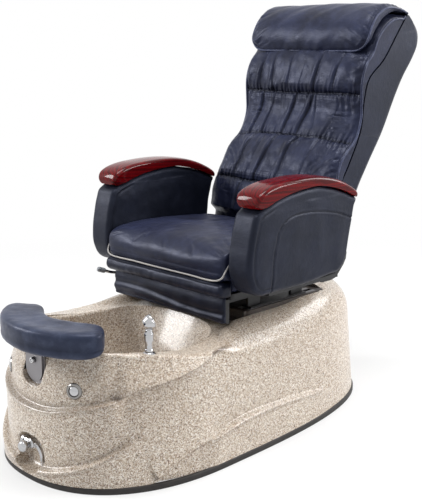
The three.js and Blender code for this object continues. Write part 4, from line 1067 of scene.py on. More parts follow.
def make_trim():
    """Rubber foot trim with a rounded outer face and a groove under its top edge."""
    turn = stations(260)
    profile = [(6, 0), (-2, 0), (-3, 1.2), (-3, 13), (-2.6, 15.4), (-1.4, 17.2), (0.4, 18), (6, 18)]
    rings = [ring(turn, distance, z) for distance, z in profile]
    points, faces = loft(rings, "none")
    count = len(turn)
    last = (len(profile) - 1) * count
    faces += [(last + i, last + (i + 1) % count, (i + 1) % count, i) for i in range(count)]
    piece("foot_trim_band", points, faces, black_rubber, "tub", "black_rubber", ["foot_trim"], sharp=40)


make_trim()


# ---------------------------------------------------------------- basin fittings
def fitting(name, profile, matrix, node, material=chrome, body="tub", radius=0.9):
    """A turned metal piece with softened edges."""
    shape = moved(turned(soften(profile, radius), 64), matrix)
    piece(name, *shape, material, body, "chrome", [node], sharp=40)


SEAT_GAP = 0.3
RAISED = shifted(0, 0, SEAT_GAP)
JET = [(0, 5), (6, 5), (8, 9), (13, 9), (16, 4), (22, 4), (24, 1), (24, 0), (17, 0), (17, -26), (0, -26)]
for node, place in JETS:
    fitting(node + "_nozzle", JET, place @ RAISED, node)
OVERFLOW = [(0, 2), (5, 2), (6, 3), (12, 3), (15, 1), (15, 0), (8, 0), (8, -20), (0, -20)]
fitting("overflow_rose", OVERFLOW, OVERFLOW_PLACE @ RAISED, "overflow_cap")


def on_circles(*circles):
    """Places spread evenly on circles of given counts and radii."""
    for count, reach in circles:
        for k in range(count):
            a = 2 * math.pi * k / count
            yield reach * math.cos(a), reach * math.sin(a)


def pierced(name, profile, matrix, holes, material, slot, node):
    """A turned cover with holes through its top."""
    cover = scratch(turned(soften(profile, 1.2), 72))
    for hole in holes:
        boolean(cover, scratch(hole))
    points = read_points(cover.data) - (0, SHIFT, 0)
    faces = [tuple(p.vertices) for p in cover.data.polygons]
    bpy.data.objects.remove(cover)
    piece(name, *moved((points, faces), matrix), material, "tub", slot, [node], sharp=40)


STRAINER = [(0, 3), (10, 3), (12, 5), (30, 5), (34, 3), (34, 0), (20, 0), (20, -24), (0, -24)]
holes = [moved(rod(2.1, 1.5, 12, 16), shifted(x, y, 0)) for x, y in on_circles((6, 17.0), (12, 25.0))]
pierced("drain_grid", STRAINER, DRAIN_PLACE @ RAISED, holes, chrome, "chrome", "drain_strainer")
SUCTION = [(0, 0), (46, 0), (46, 2), (32, 9), (20, 12), (0, 12)]
slots = []
for x in range(-30, 31, 6):
    half = math.sqrt(34**2 - x**2)
    slots.append(plain_box(x - 2, x + 2, -half, half, 5, 20))
at = SUCTION_PLACE @ RAISED
pierced("suction_grid", SUCTION, at, slots, black_plastic, "black_plastic", "suction_cover")


# ---------------------------------------------------------------- drain valve
VALVE_Y, VALVE_Z, VALVE_REACH = -FRONT + NICHE["depth"] - SEAT_GAP, 98.0, 36.0


def make_valve():
    forward = rotated("X", math.pi / 2)
    stem = [(0, 0), (16, 0), (16, 5), (13, 6), (13, 24), (14.5, 25), (14.5, 31), (10, 34), (10, 36), (0, 36)]
    arm = [(0, -8), (11.5, -8), (11.5, 30), (15, 31), (15, 42), (12.5, 44), (0, 44)]
    sideways = rotated("Y", -math.pi / 2)
    hose = spline([[4, -22, 0], [22, -22, -3], [35, -20, -18], [38, -18, -40], [34, -14, -60]], 40)
    nut = [(0, 0), (9.5, 0), (9.5, 9), (8, 10), (0, 10)]
    parts = [
        moved(turned(soften(stem), 56), shifted(0, VALVE_Y, VALVE_Z) @ forward),
        moved(turned(soften(arm), 56), shifted(0, VALVE_Y - 22, VALVE_Z) @ sideways),
        tube(hose + np.array([0, VALVE_Y, VALVE_Z]), 6.5, around=24),
        moved(turned(soften(nut), 6), shifted(12, VALVE_Y - 22, VALVE_Z - 1) @ rotated("Y", math.pi / 2)),
    ]
    piece("drain_tap", *joined(*parts), chrome, "tub", "chrome", ["drain_valve"], sharp=40)
    knob = [(0, 0), (9, 0), (9, 5), (14, 9), (17, 16), (16.4, 23), (12, 28.6), (0, 31)]
    at = shifted(0, VALVE_Y - VALVE_REACH - SEAT_GAP, VALVE_Z) @ forward
    fitting("drain_handwheel", knob, at, "drain_knob", body="drain_knob_body", radius=2.2)


make_valve()


# ---------------------------------------------------------------- push buttons
BEZEL = [(0, -34), (17, -34), (17, 0.3), (23, 0.3), (23, 8), (20, 11), (15.3, 11), (15.3, -14), (0, -14)]
DOME = [(0, -9), (15, -9), (15, 8), (12, 11), (7, 13), (0, 14)]
for name, side in SIDES:
    at = button_frame(side)
    fitting(f"bezel_ring_{name}", BEZEL, at, f"button_bezel_{name}", shaded_chrome)
    fitting(f"button_dome_{name}", DOME, at, f"button_{name}", body=f"{name}_button", radius=1.6)


# ---------------------------------------------------------------- hand sprayer
HEAD_HEIGHT = 82


def make_sprayer():
    flange = [(0, 0), (19, 0), (19, 2.4), (15, 7), (12, 9), (0, 9)]
    seat = shifted(SPRAYER_X, SPRAYER_Y, SPRAYER_SEAT + SEAT_GAP)
    fitting("sprayer_collar", flange, seat, "sprayer_flange", radius=1.4)
    handle = [
        (0, 0), (13, 0), (13, 5), (10.5, 9), (10.5, 20), (13.5, 32), (13.5, 50), (10.5, 58), (10.5, 64),
        (0, 64),
    ]
    head = [(0, -14), (12, -14), (17, -7), (21, 3), (21, 12), (19.5, 13.6), (18, 12.6), (17, 15), (0, 15)]
    nozzle = turned(soften([(0, 0), (1, 0), (0.7, 1.4), (0, 1.4)], 0.3), 10)
    tilt = rotated("Z", math.radians(145)) @ rotated("X", math.radians(64))
    parts = [
        turned(soften(handle, 1.6), 56),
        moved(turned(soften(head, 1.4), 56), shifted(0, 0, HEAD_HEIGHT) @ tilt),
        tube(spline([[0, 0, 56], [0, 0, 66], [0, 0, 76]], 8), 9, around=32),
    ]
    for x, y in on_circles((1, 0.0), (6, 4.5), (12, 9.5)):
        parts.append(moved(nozzle, shifted(0, 0, HEAD_HEIGHT) @ tilt @ shifted(x, y, 14.6)))
    shape = moved(joined(*parts), shifted(SPRAYER_X, SPRAYER_Y, SPRAYER_SEAT + 9.6))
    piece("sprayer_body", *shape, chrome, "sprayer", "chrome", ["hand_sprayer"], sharp=40)


make_sprayer()


# ---------------------------------------------------------------- footrest clamp screw and levers
def make_clamp():
    """The handwheel fills the box of the screw's node."""
    low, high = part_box("footrest_clamp_screw")
    middle = ((low.x + high.x) * 500, high.y * 1000 - SHIFT, (low.z + high.z) * 500)
    at = shifted(*middle) @ rotated("X", math.pi / 2)
    radius = (high.x - low.x) * 500
    depth = (high.y - low.y) * 1000
    knob = [
        (0, 0), (0.5, 0), (0.5, 0.42), (1, 0.5), (1, 0.84), (0.86, 1), (0.4, 1), (0.36, 0.8), (0, 0.8),
    ]
    knob = [(reach * radius, height * depth) for reach, height in knob]
    fitting("clamp_handwheel", knob, at, "footrest_clamp_screw", body="clamp_screw", radius=0.7)


def make_recline_lever():
    x, y, z = -262.0, 150.0, 448.0
    bends = [[-7, 0, 0], [-14, -26, 2], [-20, -58, 8], [-26, -78, 15]]
    path = spline(np.array(bends) + (x, y, z), 40)
    hub = turned(soften([(0, 0), (12, 0), (12, 10), (10, 12), (0, 12)]), 48)
    hub = moved(hub, shifted(x, y, z) @ rotated("Y", -math.pi / 2))
    pin = moved(rod(5, 0, 22), shifted(x - 8, y, z) @ rotated("Y", math.pi / 2))
    shape = joined(tube(path, 5, around=20), hub, pin)
    piece("recline_arm", *shape, chrome, "recline_handle", "chrome", ["recline_lever"], sharp=40)
    aim = Vector(path[-1] - path[-3]).normalized()
    turn = aim.to_track_quat("Z", "Y").to_matrix().to_4x4()
    grip = [(0, 0), (7, 0), (8.5, 3)]
    for k in range(5):
        grip += [(reach, start + 3.4 * k) for reach, start in ((8.9, 5), (8.1, 6.2), (8.1, 6.8), (8.9, 8))]
    grip += [(7, 27), (0, 29)]
    at = shifted(*(path[-1] + np.array(aim) * SEAT_GAP)) @ turn
    shape = moved(turned(soften(grip, 0.6), 64), at)
    slot = "pale_rubber"
    piece("recline_handgrip", *shape, pale_rubber, "recline_handle", slot, ["recline_grip"], sharp=40)


def make_release_bar():
    bar_y, bar_z, half, shaft_y, shaft_z = 128.0, 391.0, 62.0, 250.0, 424.0
    bar = spline([
        [-half - 18, shaft_y, shaft_z], [-half - 16, bar_y + 26, bar_z + 24], [-half, bar_y + 2, bar_z],
        [0, bar_y, bar_z - 1], [half, bar_y + 2, bar_z], [half + 16, bar_y + 26, bar_z + 24],
        [half + 18, shaft_y, shaft_z],
    ], 120)
    shaft = moved(rod(5, 0, 220), shifted(-110, shaft_y, shaft_z) @ rotated("Y", math.pi / 2))
    shape = joined(tube(bar, 5, around=20), shaft)
    piece("release_loop", *shape, steel, "slide_release", "grey_steel", ["release_bar"], sharp=40)


make_clamp()
make_recline_lever()
make_release_bar()


# ---------------------------------------------------------------- upholstery forms
POINTS_AT_ONCE = 6000


def locate(line, y, z):
    """For each point of a side view: how far along a line its nearest place is, and how far off, in mm."""
    line = np.asarray(line, float)
    length = np.concatenate([[0], np.cumsum(np.linalg.norm(np.diff(line, axis=0), axis=1))])
    at, off = np.empty(len(y)), np.empty(len(y))
    for start in range(0, len(y), POINTS_AT_ONCE):
        part = slice(start, start + POINTS_AT_ONCE)
        gap = (y[part, None] - line[None, :, 0]) ** 2 + (z[part, None] - line[None, :, 1]) ** 2
        best = gap.argmin(1)
        at[part] = length[best]
        off[part] = np.sqrt(gap[np.arange(len(best)), best])
    return at, off


def press(obj, relief):
    """Moves each point along its normal by relief(points, normals): mm outwards, and how much shade is
    painted into its creases.
    """
    co, normal = read_points(obj.data), read_normals(obj.data)
    co[:, 1] -= SHIFT
    move, fold_shade = relief(co, normal)
    co += normal * move[:, None]
    co[:, 1] += SHIFT
    obj.data.vertices.foreach_set("co", (co / 1000).ravel())
    # this value paints shade into the material's colour in creases and seams
    store(obj, "crease_shade", np.clip(fold_shade, 0, 1))
    obj.data.update()


CLOTH_VOXEL, CLOTH_FRAMES = 0.005, 20
CLOTH_SHRINK = 4.0  # mm by which a pad starts smaller
CLOTH = {
    "quality": 5, "mass": 0.3, "bending_stiffness": 0.5, "use_pressure": True, "uniform_pressure_force": 4.0,
}


def inflate(obj, cap, held):
    """Swells a closed pad as cloth under pressure, from a smaller one.

    No point moves further than the cap, and held(points, normals) says how firmly each stays put.
    """
    work = bpy.data.objects.new("swelling", obj.data.copy())
    scene.collection.objects.link(work)
    remesh = work.modifiers.new("remesh", "REMESH")
    remesh.mode = "VOXEL"
    remesh.voxel_size = CLOTH_VOXEL
    baked(work)
    co, normal = read_points(work.data), read_normals(work.data)
    hold = held(co - (0, SHIFT, 0), normal)
    start = co - normal * (CLOTH_SHRINK * (1 - hold))[:, None]
    work.data.vertices.foreach_set("co", (start / 1000).ravel())
    group = work.vertex_groups.new(name="held")
    for level in (0.25, 0.5, 0.75, 1.0):
        near = np.nonzero(np.abs(hold - level) <= 0.125)[0]
        group.add(near.tolist(), level, "REPLACE")
    cloth = work.modifiers.new("cloth", "CLOTH")
    for key, value in CLOTH.items():
        setattr(cloth.settings, key, value)
    cloth.settings.effector_weights.gravity = 0
    cloth.settings.vertex_group_mass = group.name
    cloth.collision_settings.use_collision = False
    cloth.point_cache.frame_start = 1
    cloth.point_cache.frame_end = CLOTH_FRAMES
    for frame in range(1, CLOTH_FRAMES + 1):
        scene.frame_set(frame)
    baked(work)
    move = read_points(work.data) - start
    length = np.linalg.norm(move, axis=1)
    move *= np.minimum(1, cap / np.maximum(length, 1e-6))[:, None]
    work.data.vertices.foreach_set("co", ((start + move) / 1000).ravel())
    work.vertex_groups.clear()
    work.modifiers.new("finer", "SUBSURF").levels = 1
    baked(work)
    old, obj.data = obj.data, work.data
    obj.data.name = obj.name
    obj.data.materials.clear()
    obj.data.materials.append(old.materials[0])
    obj.data.polygons.foreach_set("use_smooth", [True] * len(obj.data.polygons))
    bpy.data.objects.remove(work)
    bpy.data.meshes.remove(old)
    scene.frame_set(1)


def panel(front, rear, half, round_over, drawn=0.0, tucked=0.0, crown=0.0, rows=200, columns=60, width=None):
    """A padded panel between a front and a rear line, carried across X.

    Its edges are drawn together at both ends. `width` narrows each row, as shares of the half width.
    Returns the shape, its two front side edges and the line of its face.
    """
    face = spline(front, rows)
    spine = spline(rear, rows)
    share = np.linspace(0, 1, rows)
    depth = np.linalg.norm(spine - face, axis=1)
    ease = np.minimum(1, np.minimum(share / 0.08, (1 - share) / 0.08))
    narrow = np.ones(rows) if width is None else width(share)
    arc = np.cos(np.linspace(0, math.pi / 2, 12))
    places = [(half - round_over + round_over * t, 1 - math.sqrt(max(0.0, 1 - t * t))) for t in arc]
    places += [((half - round_over) * (1 - k / columns), 0.0) for k in range(1, columns + 1)]
    places += [(-x, e) for x, e in reversed(places[:-1])]
    rings = []
    for x, e in places:
        move = np.minimum(0.7 * depth, drawn * e) - crown * (1 - (x / half) ** 2) * ease
        back = np.minimum(0.25 * depth, tucked * e)
        fore = face + (spine - face) * (move / np.maximum(depth, 1e-6))[:, None]
        aft = spine + (face - spine) * (back / np.maximum(depth, 1e-6))[:, None]
        fore = np.column_stack([x * narrow, fore])
        aft = np.column_stack([x * narrow, aft])
        rings.append(np.vstack([fore, aft[::-1]]))
    edges = [rings[0][:rows], rings[-1][:rows]]
    return loft(rings, "strip"), edges, face


def sweep(section, from_x, to_x, round_over, columns=60, caps=3, crown=0.0):
    """A pad: a closed [y, z] outline carried across X, rounded over at both ends.

    The end faces are made of fine rings.
    """
    outline_points = np.asarray(section, float)
    centre = (outline_points.max(0) + outline_points.min(0)) / 2
    size = (outline_points.max(0) - outline_points.min(0)) / 2
    rings = []

    def level(x, inset, share=1.0):
        middle = 1 - (2 * (x - from_x) / (to_x - from_x) - 1) ** 2
        grown = 1 - inset / size + np.array([0, crown * middle]) / size
        p = centre + (outline_points - centre) * grown * share
        rings.append(np.column_stack([np.full(len(p), x), p]))

    for k in range(1, caps + 1):
        level(from_x, round_over, k / (caps + 1))
    for t in np.linspace(0, 1, 9):
        a = t * math.pi / 2
        level(from_x + round_over * (1 - math.cos(a)), round_over * (1 - math.sin(a)))
    for x in np.linspace(from_x + round_over, to_x - round_over, columns)[1:-1]:
        level(x, 0)
    for t in np.linspace(1, 0, 9):
        a = t * math.pi / 2
        level(to_x - round_over * (1 - math.cos(a)), round_over * (1 - math.sin(a)))
    for k in range(caps, 0, -1):
        level(to_x, round_over, k / (caps + 1))
    return loft(rings)


def piping(name, path, radius, material, body):
    """A cord sewn into a seam."""
    count = max(24, int(np.linalg.norm(np.diff(path, axis=0), axis=1).sum() / 5))
    obj = piece(name, *tube(resample(path, count), radius), material, body, "leather_navy")
    store(obj, "crease_shade", np.zeros(len(obj.data.vertices)))


def on_face(face):
    """The length of a panel's face, and a function that places points on it.

    That function gives how far along the face each point is, and how much it faces outwards.
    """
    length = np.linalg.norm(np.diff(face, axis=0), axis=1).sum()
    tangent = np.gradient(face, axis=0)
    tangent /= np.linalg.norm(tangent, axis=1)[:, None]
    steps = np.linspace(0, length, len(face))

    def place(co, normal):
        at, _ = locate(face, co[:, 1], co[:, 2])
        ty, tz = np.interp(at, steps, tangent[:, 0]), np.interp(at, steps, tangent[:, 1])
        return at, smooth(0.0, 0.6, normal[:, 1] * tz - normal[:, 2] * ty)

    return length, place


# ---------------------------------------------------------------- backrest
PAD_FRONT = [
    [976, 1301], [905, 1305], [850, 1285], [800, 1240], [772, 1190], [735, 1150], [716, 1093], [720, 1030],
    [722, 984], [690, 912], [618, 845], [587, 774], [588, 700], [576, 610], [570, 515],
]
SHELL_FRONT = [
    [980, 1302], [923, 1234], [853, 1152], [772, 1088], [750, 1023], [737, 926], [677, 814], [628, 740],
    [612, 670], [602, 600], [594, 506],
]
SHELL_REAR = [
    [994, 1298], [1042, 1277], [1070, 1242], [1070, 1202], [1044, 1158], [992, 1094], [936, 1008], [876, 906],
    [804, 808], [750, 730], [708, 648], [681, 570], [664, 500],
]
BACK_HALF = 258.0
LOWER_SPREAD = 0.036  # how much wider the pad is between the arms
GATHERS = (0.425, 0.585, 0.775)  # gathered seams, as shares of the pad's front from its top
# pleats of each band between the seams: x at the band's top, x at its foot, depth, and where it is deepest
PLEATS = (
    ((-150, -176, 6, 1.0), (-136, -114, 5, 1.0), (-30, -40, 3, 0.9), (112, 72, 6, 1.0), (205, 150, 5, 1.0)),
    ((-176, -182, 7, 0.3), (-118, -128, 3.5, 0.8), (-24, -34, 7, 0.5), (52, 30, 8, 0.5), (66, 96, 3, 0.0),
     (170, 150, 3, 1.0)),
    ((-166, -170, 7, 0.5), (-110, -104, 3, 0.0), (-57, -70, 7, 0.5), (34, 26, 6, 0.3), (120, 132, 3.5, 0.1)),
    ((-150, -140, 6, 0.1), (-60, -72, 6, 0.2), (20, 26, 5, 0.2), (96, 84, 6, 0.1), (170, 150, 4, 0.1)),
)


def behind(face):
    """Holds what lies further than the depth of the roll-over behind a panel's face."""

    def held(co, normal):
        _, off = locate(face, co[:, 1], co[:, 2])
        return np.maximum(smooth(8, 16, np.abs(off)), smooth(0.2, -0.2, -normal[:, 1] + 0.6 * normal[:, 2]))

    return held


def back_pad_relief(face):
    """Three gathered seams, the pleats between them, soft dents and the bulge at the foot."""
    length, place = on_face(face)
    drift = waviness(3, 3, 150, 420)
    gather_up, gather_down = waviness(11, 9, 14, 58), waviness(12, 9, 14, 58)
    fine_up, fine_down = waviness(14, 6, 9, 18), waviness(15, 6, 9, 18)
    length_of_fold = waviness(13, 4, 50, 130)
    side_fold = waviness(21, 6, 20, 52)
    soft = field(31, 7, 70, 190)
    small = field(32, 9, 24, 60)

    def relief(co, normal):
        x, _, z = co.T
        at, facing = place(co, normal)
        seams = [share * length + 3.0 * drift(x + 900 * k) for k, share in enumerate(GATHERS)]
        move = 1.4 * soft(x, at) + 0.5 * small(x, at)
        fold_shade = np.zeros(len(x))
        for seam in seams:
            d = at - seam
            move = move - 8.5 * spike(d, 5.5) - 4.0 * bell(d, 24)
            gather = np.where(d < 0, gather_up(x + 0.22 * d), gather_down(x - 0.15 * d + 60))
            reach = 26 + 12 * length_of_fold(x + np.where(d < 0, 0, 200))
            sharp = np.sign(gather) * np.abs(gather) ** 1.3
            fine = np.where(d < 0, fine_up(x + 0.3 * d), fine_down(x - 0.2 * d))
            move = move + 1.7 * fine * spike(d, 13)
            fold_shade = fold_shade + 0.8 * np.clip(-fine - 0.3, 0, 1) * spike(d, 11)
            move = move + 3.4 * sharp * spike(d, np.maximum(reach, 8)) * (1 - 0.4 * spike(d, 5))
            fold_shade = fold_shade + 0.35 * np.clip(-gather - 0.6, 0, 1) * spike(d, 16)
            fold_shade = fold_shade + bell(d, 4.2)
        borders = [0 * x, *seams, length + 0 * x]
        for k, pleats in enumerate(PLEATS):
            share = np.clip((at - borders[k]) / (borders[k + 1] - borders[k]), 0, 1)
            inside = (at >= borders[k]) & (at < borders[k + 1])
            puff = (3.6 if k else 2.0) * np.sin(math.pi * share) ** 0.8
            move = move + np.where(inside, puff, 0)
            for top, foot, deep, peak in pleats:
                way = mix(top + 12, foot - 6, share) + 3 * np.sin(5 * share + top)
                strength = deep * bell(share - peak, 0.75) * inside
                if k == 0:
                    strength = strength * smooth(0.55, 0.85, share)
                if k == 3:
                    strength = strength * (1 - smooth(0.35, 0.7, share))
                d = x - way
                groove = spike(d, np.where(d < 0, 2.6, 6.5))
                move = move + strength * (0.5 * bell(d + 12, 9) - 1.0 * groove)
                fold_shade = fold_shade + 1.3 * bell(d, 3.0) * strength / 7
        side = np.exp(-(BACK_HALF - np.abs(x)) / 30)
        move = move + 1.8 * side * side_fold(at + 0.45 * np.abs(x) + np.where(x > 0, 0, 300))
        edge = smooth(0, 20, BACK_HALF - np.abs(x))
        move = move * (0.15 + 0.85 * edge)
        lumbar = smooth(800, 680, z) * mix(11, 30, smooth(606, 630, z))
        return (move + lumbar) * facing, fold_shade * facing

    return relief


def back_width(share):
    return 1 + LOWER_SPREAD * smooth(0.66, 0.8, share)


def make_back():
    pad_rear = [[y - 1.8, z + 1.2] for y, z in SHELL_FRONT]
    shape, edges, face = panel(PAD_FRONT, pad_rear, BACK_HALF, 24, 22, 0, 5, 330, 150, back_width)
    pad = piece("back_upholstery", *shape, navy, "backrest", "leather_navy", ["back_pad"], sharp=60)
    inflate(pad, 8, behind(face))
    press(pad, back_pad_relief(face))
    for name, edge in zip(("right", "left"), edges):
        line = edge[6:-4].copy()
        line[:, 0] *= (BACK_HALF - 0.5) / BACK_HALF
        piping(f"back_piping_{name}", line, 4.2, lit_navy_piping, "backrest")


def make_back_cover():
    """The hollow shell behind the pad, with the sewn panel at its rear."""
    shell = scratch(panel(SHELL_FRONT, SHELL_REAR, BACK_HALF, 30, 0, 40, 0, 170, 44)[0])
    shell.name = "back_cover"
    front, rear = spline(SHELL_FRONT, 19), spline(SHELL_REAR, 19)
    aim = front - rear
    reach = np.minimum(0.5, 14 / np.linalg.norm(aim, axis=1))
    inner = (rear + aim * reach[:, None])[2:]
    cavity = panel(front[2:] + np.array([-24, 6]), inner, BACK_HALF - 20, 8, rows=40, columns=2)[0]
    foot = plain_box(-238, 238, 540, 652, 460, 600)
    shaft = moved(rod(13.3, -280, 280), shifted(0, 628, 520) @ rotated("Y", math.pi / 2))
    for hole in (cavity, foot, shaft):
        boolean(shell, scratch(hole))
    finish_piece(shell, shaded_navy_leather, "backrest", ["back_shell"], 40)
    back_line = spline(SHELL_REAR, 200)
    length = np.linalg.norm(np.diff(back_line, axis=0), axis=1).sum()
    soft = field(41, 6, 90, 240)

    def relief(co, normal):
        x, y, z = co.T
        at, off = locate(back_line, y, z)
        behind = smooth(0.3, 0.8, normal[:, 1]) * smooth(30, 18, off)
        border = np.minimum(208 - np.abs(x), np.minimum(at - 70, length - 70 - at))
        move = -3.4 * bell(border, 3.4) + 1.6 * smooth(0, 30, border)
        return behind * move + 0.7 * soft(x, at), behind * bell(border, 2.6)

    press(shell, relief)


make_back()
make_back_cover()


# ---------------------------------------------------------------- head pillow
PILLOW_FRONT = [
    [988, 1310], [945, 1331], [890, 1341], [835, 1333], [784, 1302], [750, 1250], [740, 1208], [752, 1180],
]
PILLOW_REAR = [
    [984.7, 1306.7], [940.7, 1311.3], [902.7, 1311.5], [845.2, 1291.7], [793.3, 1244], [764, 1193.6],
    [757.8, 1181.7],
]


HINGE_Y, HINGE_Z = 988.0, 1306.0  # axis on which the pillow folds back
PILLOW_CORNER = 58.0


def pillow_width(share):
    """Rounded lower corners, and slightly drawn in at the hinge edge."""
    left = (1 - share) * 300
    corner = PILLOW_CORNER
    cut = np.where(left < corner, corner - np.sqrt(np.maximum(0, corner**2 - (corner - left) ** 2)), 0)
    return (BACK_HALF - cut - 5 * (1 - smooth(0, 0.12, share))) / BACK_HALF


def make_pillow():
    shape, (right, left), face = panel(
        PILLOW_FRONT, PILLOW_REAR, BACK_HALF, 22, 20, 0, 4, 150, 84, pillow_width
    )
    pillow = piece("pillow_cover", *shape, navy, "pillow", "leather_navy", ["head_pillow"], sharp=60)
    length, place = on_face(face)
    soft, drape = field(51, 6, 110, 260), waviness(52, 5, 60, 150)
    side_fold, low_fold = waviness(53, 7, 16, 44), waviness(54, 6, 24, 70)

    def relief(co, normal):
        x = co[:, 0]
        at, facing = place(co, normal)
        move = 1.5 * soft(x, at) + 1.1 * drape(x + 0.9 * at) * smooth(20, 120, at)
        inward = BACK_HALF * pillow_width(at / length) - np.abs(x)
        side = np.exp(-np.maximum(0, inward) / 24)
        folds = side_fold(at - 0.5 * np.abs(x) + np.where(x > 0, 0, 170))
        move = move + 2.2 * side * smooth(0, 14, inward) * folds
        low = np.exp(-(length - at) / 26)
        move = move + 1.3 * low * low_fold(x + 0.3 * at)
        return move * facing, 0.5 * (np.clip(-folds, 0, 1) * side) * facing

    inflate(pillow, 8, behind(face))
    press(pillow, relief)
    bottom = np.linspace(right[-1], left[-1], 60)[1:-1]
    path = np.vstack([right[4:], bottom, left[4:][::-1]])
    path[:, 1] -= 3.0
    piping("pillow_piping", path, 3.4, lit_navy_piping, "pillow")
    hinge = row(np.linspace(-248, 248, 24), HINGE_Y, HINGE_Z)
    piping("pillow_hinge_cover", hinge, 5.6, navy, "pillow")


make_pillow()


# ---------------------------------------------------------------- seat cushion, apron and skirt
BOARD_TOP = 481.3
CUSHION_FOOT = BOARD_TOP + 0.3


def make_cushion():
    section = resample(rounded([
        [112, CUSHION_FOOT, 4], [112, 524, 3], [72, 524, 8], [62, 554, 16], [65, 604, 22], [104, 622, 30],
        [185, 630, 50], [300, 627, 50], [430, 616, 40], [556, 602, 16], [560, 560, 20],
        [550, CUSHION_FOOT, 10],
    ]), 300, True)
    cushion = piece(
        "cushion_cover", *sweep(section, -270, 270, 26, 100, 10, 7), navy, "seat", "leather_navy",
        ["seat_cushion"], sharp=60,
    )

    def held(co, _):
        x, y, z = co.T
        return np.maximum.reduce([smooth(550, 540, z), smooth(546, 556, y), smooth(254, 266, np.abs(x))])

    soft, small = field(61, 7, 90, 220), field(62, 9, 26, 64)
    ray = waviness(63, 7, 0.09, 0.3)
    cross, rank = waviness(64, 6, 22, 80), waviness(65, 4, 40, 110)

    def relief(co, normal):
        x, y, z = co.T
        up = smooth(0.2, 0.8, normal[:, 2])
        outer = smooth(0.1, 0.6, -normal[:, 1]) * smooth(530, 545, z)
        bearing = np.arctan2(x, np.maximum(620 - y, 1))
        middle = np.exp(-(((y - 420) / 130) ** 2) - (x / 210) ** 2)
        move = up * (1.0 * soft(x, y) + 0.35 * small(x, y) + 3.0 * middle * ray(bearing + 0.0007 * y))
        move = move + up * 2.4 * bell(y - 500, 46) * ray(x / 420 + 3)
        tuck = bell(y - 470, 74)
        crinkle = cross(x + 0.35 * y) * rank(y + 0.5 * x)
        move = move + up * tuck * (1.5 * np.abs(cross(x - 0.5 * y)) - 1.9 * np.clip(crinkle, 0, 2))
        move = move - 5.0 * up * bell(y - 560, 40) + 0.9 * outer * soft(x, z * 2)
        fold_shade = 0.45 * up * middle * np.clip(-ray(bearing + 0.0007 * y), 0, 1)
        return move * smooth(268, 240, np.abs(x)), fold_shade + 0.5 * up * tuck * np.clip(crinkle, 0, 1)

    inflate(cushion, 9, held)
    press(cushion, relief)
    left = [
        [-268, 150, 600], [-269, 104, 586], [-268, 80, 560], [-264, 68, 539], [-246, 62, 529],
        [-120, 60.5, 527],
    ]
    right = [[-x, y, z] for x, y, z in reversed(left)]
    piping("cushion_piping", spline([*left, [0, 60, 526.5], *right], 220), 2.6, piping_light, "seat")


def make_apron():
    section = resample(rounded([
        [60, 488, 14], [62, 517, 12], [108, 521, 8], [109.6, BOARD_TOP, 3], [109.6, 472.3, 3],
        [74, 472.3, 12],
    ]), 120, True)
    apron = piece(
        "apron_cover", *sweep(section, -269, 269, 14, 100, 5), dark_leather, "seat", "leather_dark",
        ["apron_roll"], sharp=60,
    )
    soft = field(71, 6, 70, 200)
    fine = waviness(72, 7, 22, 60)

    def relief(co, normal):
        x, _, z = co.T
        front = smooth(0.2, 0.8, -normal[:, 1])
        pinch = bell(z - 514, 3)
        roll = 4.5 * bell(z - 492, 17)
        move = front * (roll + 0.8 * soft(x, 2 * z) + 0.4 * fine(x) * smooth(520, 500, z) - 1.2 * pinch)
        return move, 0.4 * front * pinch

    press(apron, relief)


def make_skirt():
    section = resample(rounded([
        [87, 392, 5], [84, 422, 18], [84, 444, 18], [89, 471.7, 6], [99.4, 471.7, 3], [99.4, 392, 3],
    ]), 160, True)
    skirt = piece(
        "skirt_cover", *sweep(section, -255, 255, 7, 100, 4), dark_leather, "seat", "leather_dark",
        ["skirt_pad"], sharp=60,
    )
    sway, soft = waviness(81, 3, 260, 700), field(82, 6, 60, 170)

    def relief(co, normal):
        x, _, z = co.T
        front = smooth(0.2, 0.8, -normal[:, 1])
        move = 0.7 * soft(x, 2 * z)
        d = z - mix(436, 420, smooth(-200, 220, x)) - 4 * sway(x)
        move = move - 3.0 * bell(d, 9) + 3.6 * bell(d + 17, 11)
        move = move + 1.5 * bell(z - 452, 14)
        hem = bell(z - 402, 1.6)
        return front * (move - 0.9 * hem), front * (0.3 * bell(d, 6) + 0.5 * hem)

    press(skirt, relief)


make_cushion()
make_apron()
make_skirt()


# ---------------------------------------------------------------- arms
ARM_INNER, ARM_OUTER = 274.0, 366.0
CAP_FOOT = [
    [128, 744], [150, 752], [190, 766], [247, 779], [330, 788], [390, 788], [460, 774], [520, 755],
    [560, 738], [580, 730],
]
CAP_TOP = [
    [112, 748], [110, 764], [118, 782], [140, 796], [185, 808], [247, 814], [330, 816], [395, 812],
    [470, 798], [530, 776], [575, 752], [588, 739],
]
ARM_FRONT = [[126, 488, 14], [96, 507, 18], [76, 556, 20], [76, 608, 20], [89, 674, 20], [106, 728, 10]]
ARM_REAR = [[572, 715, 10], [559, 659, 20], [543, 564, 26], [522, 518, 16], [499, 500, 12], [330, 488]]
ARM_ARCH = spline([
    [172, 492], [176, 545], [184, 621], [205, 678], [249, 707], [341, 713], [470, 694], [556, 666],
], 160)
CAP_HALF = 49.0


def cap_width(share):
    """Rounded corners at the nose and at the tail."""
    nose = np.clip(share / 0.09, 0, 1)
    tail = np.clip((1 - share) / 0.035, 0, 1)
    return 1 - 0.42 * (1 - np.sqrt(1 - (1 - nose) ** 2)) - 0.22 * (1 - np.sqrt(1 - (1 - tail) ** 2))


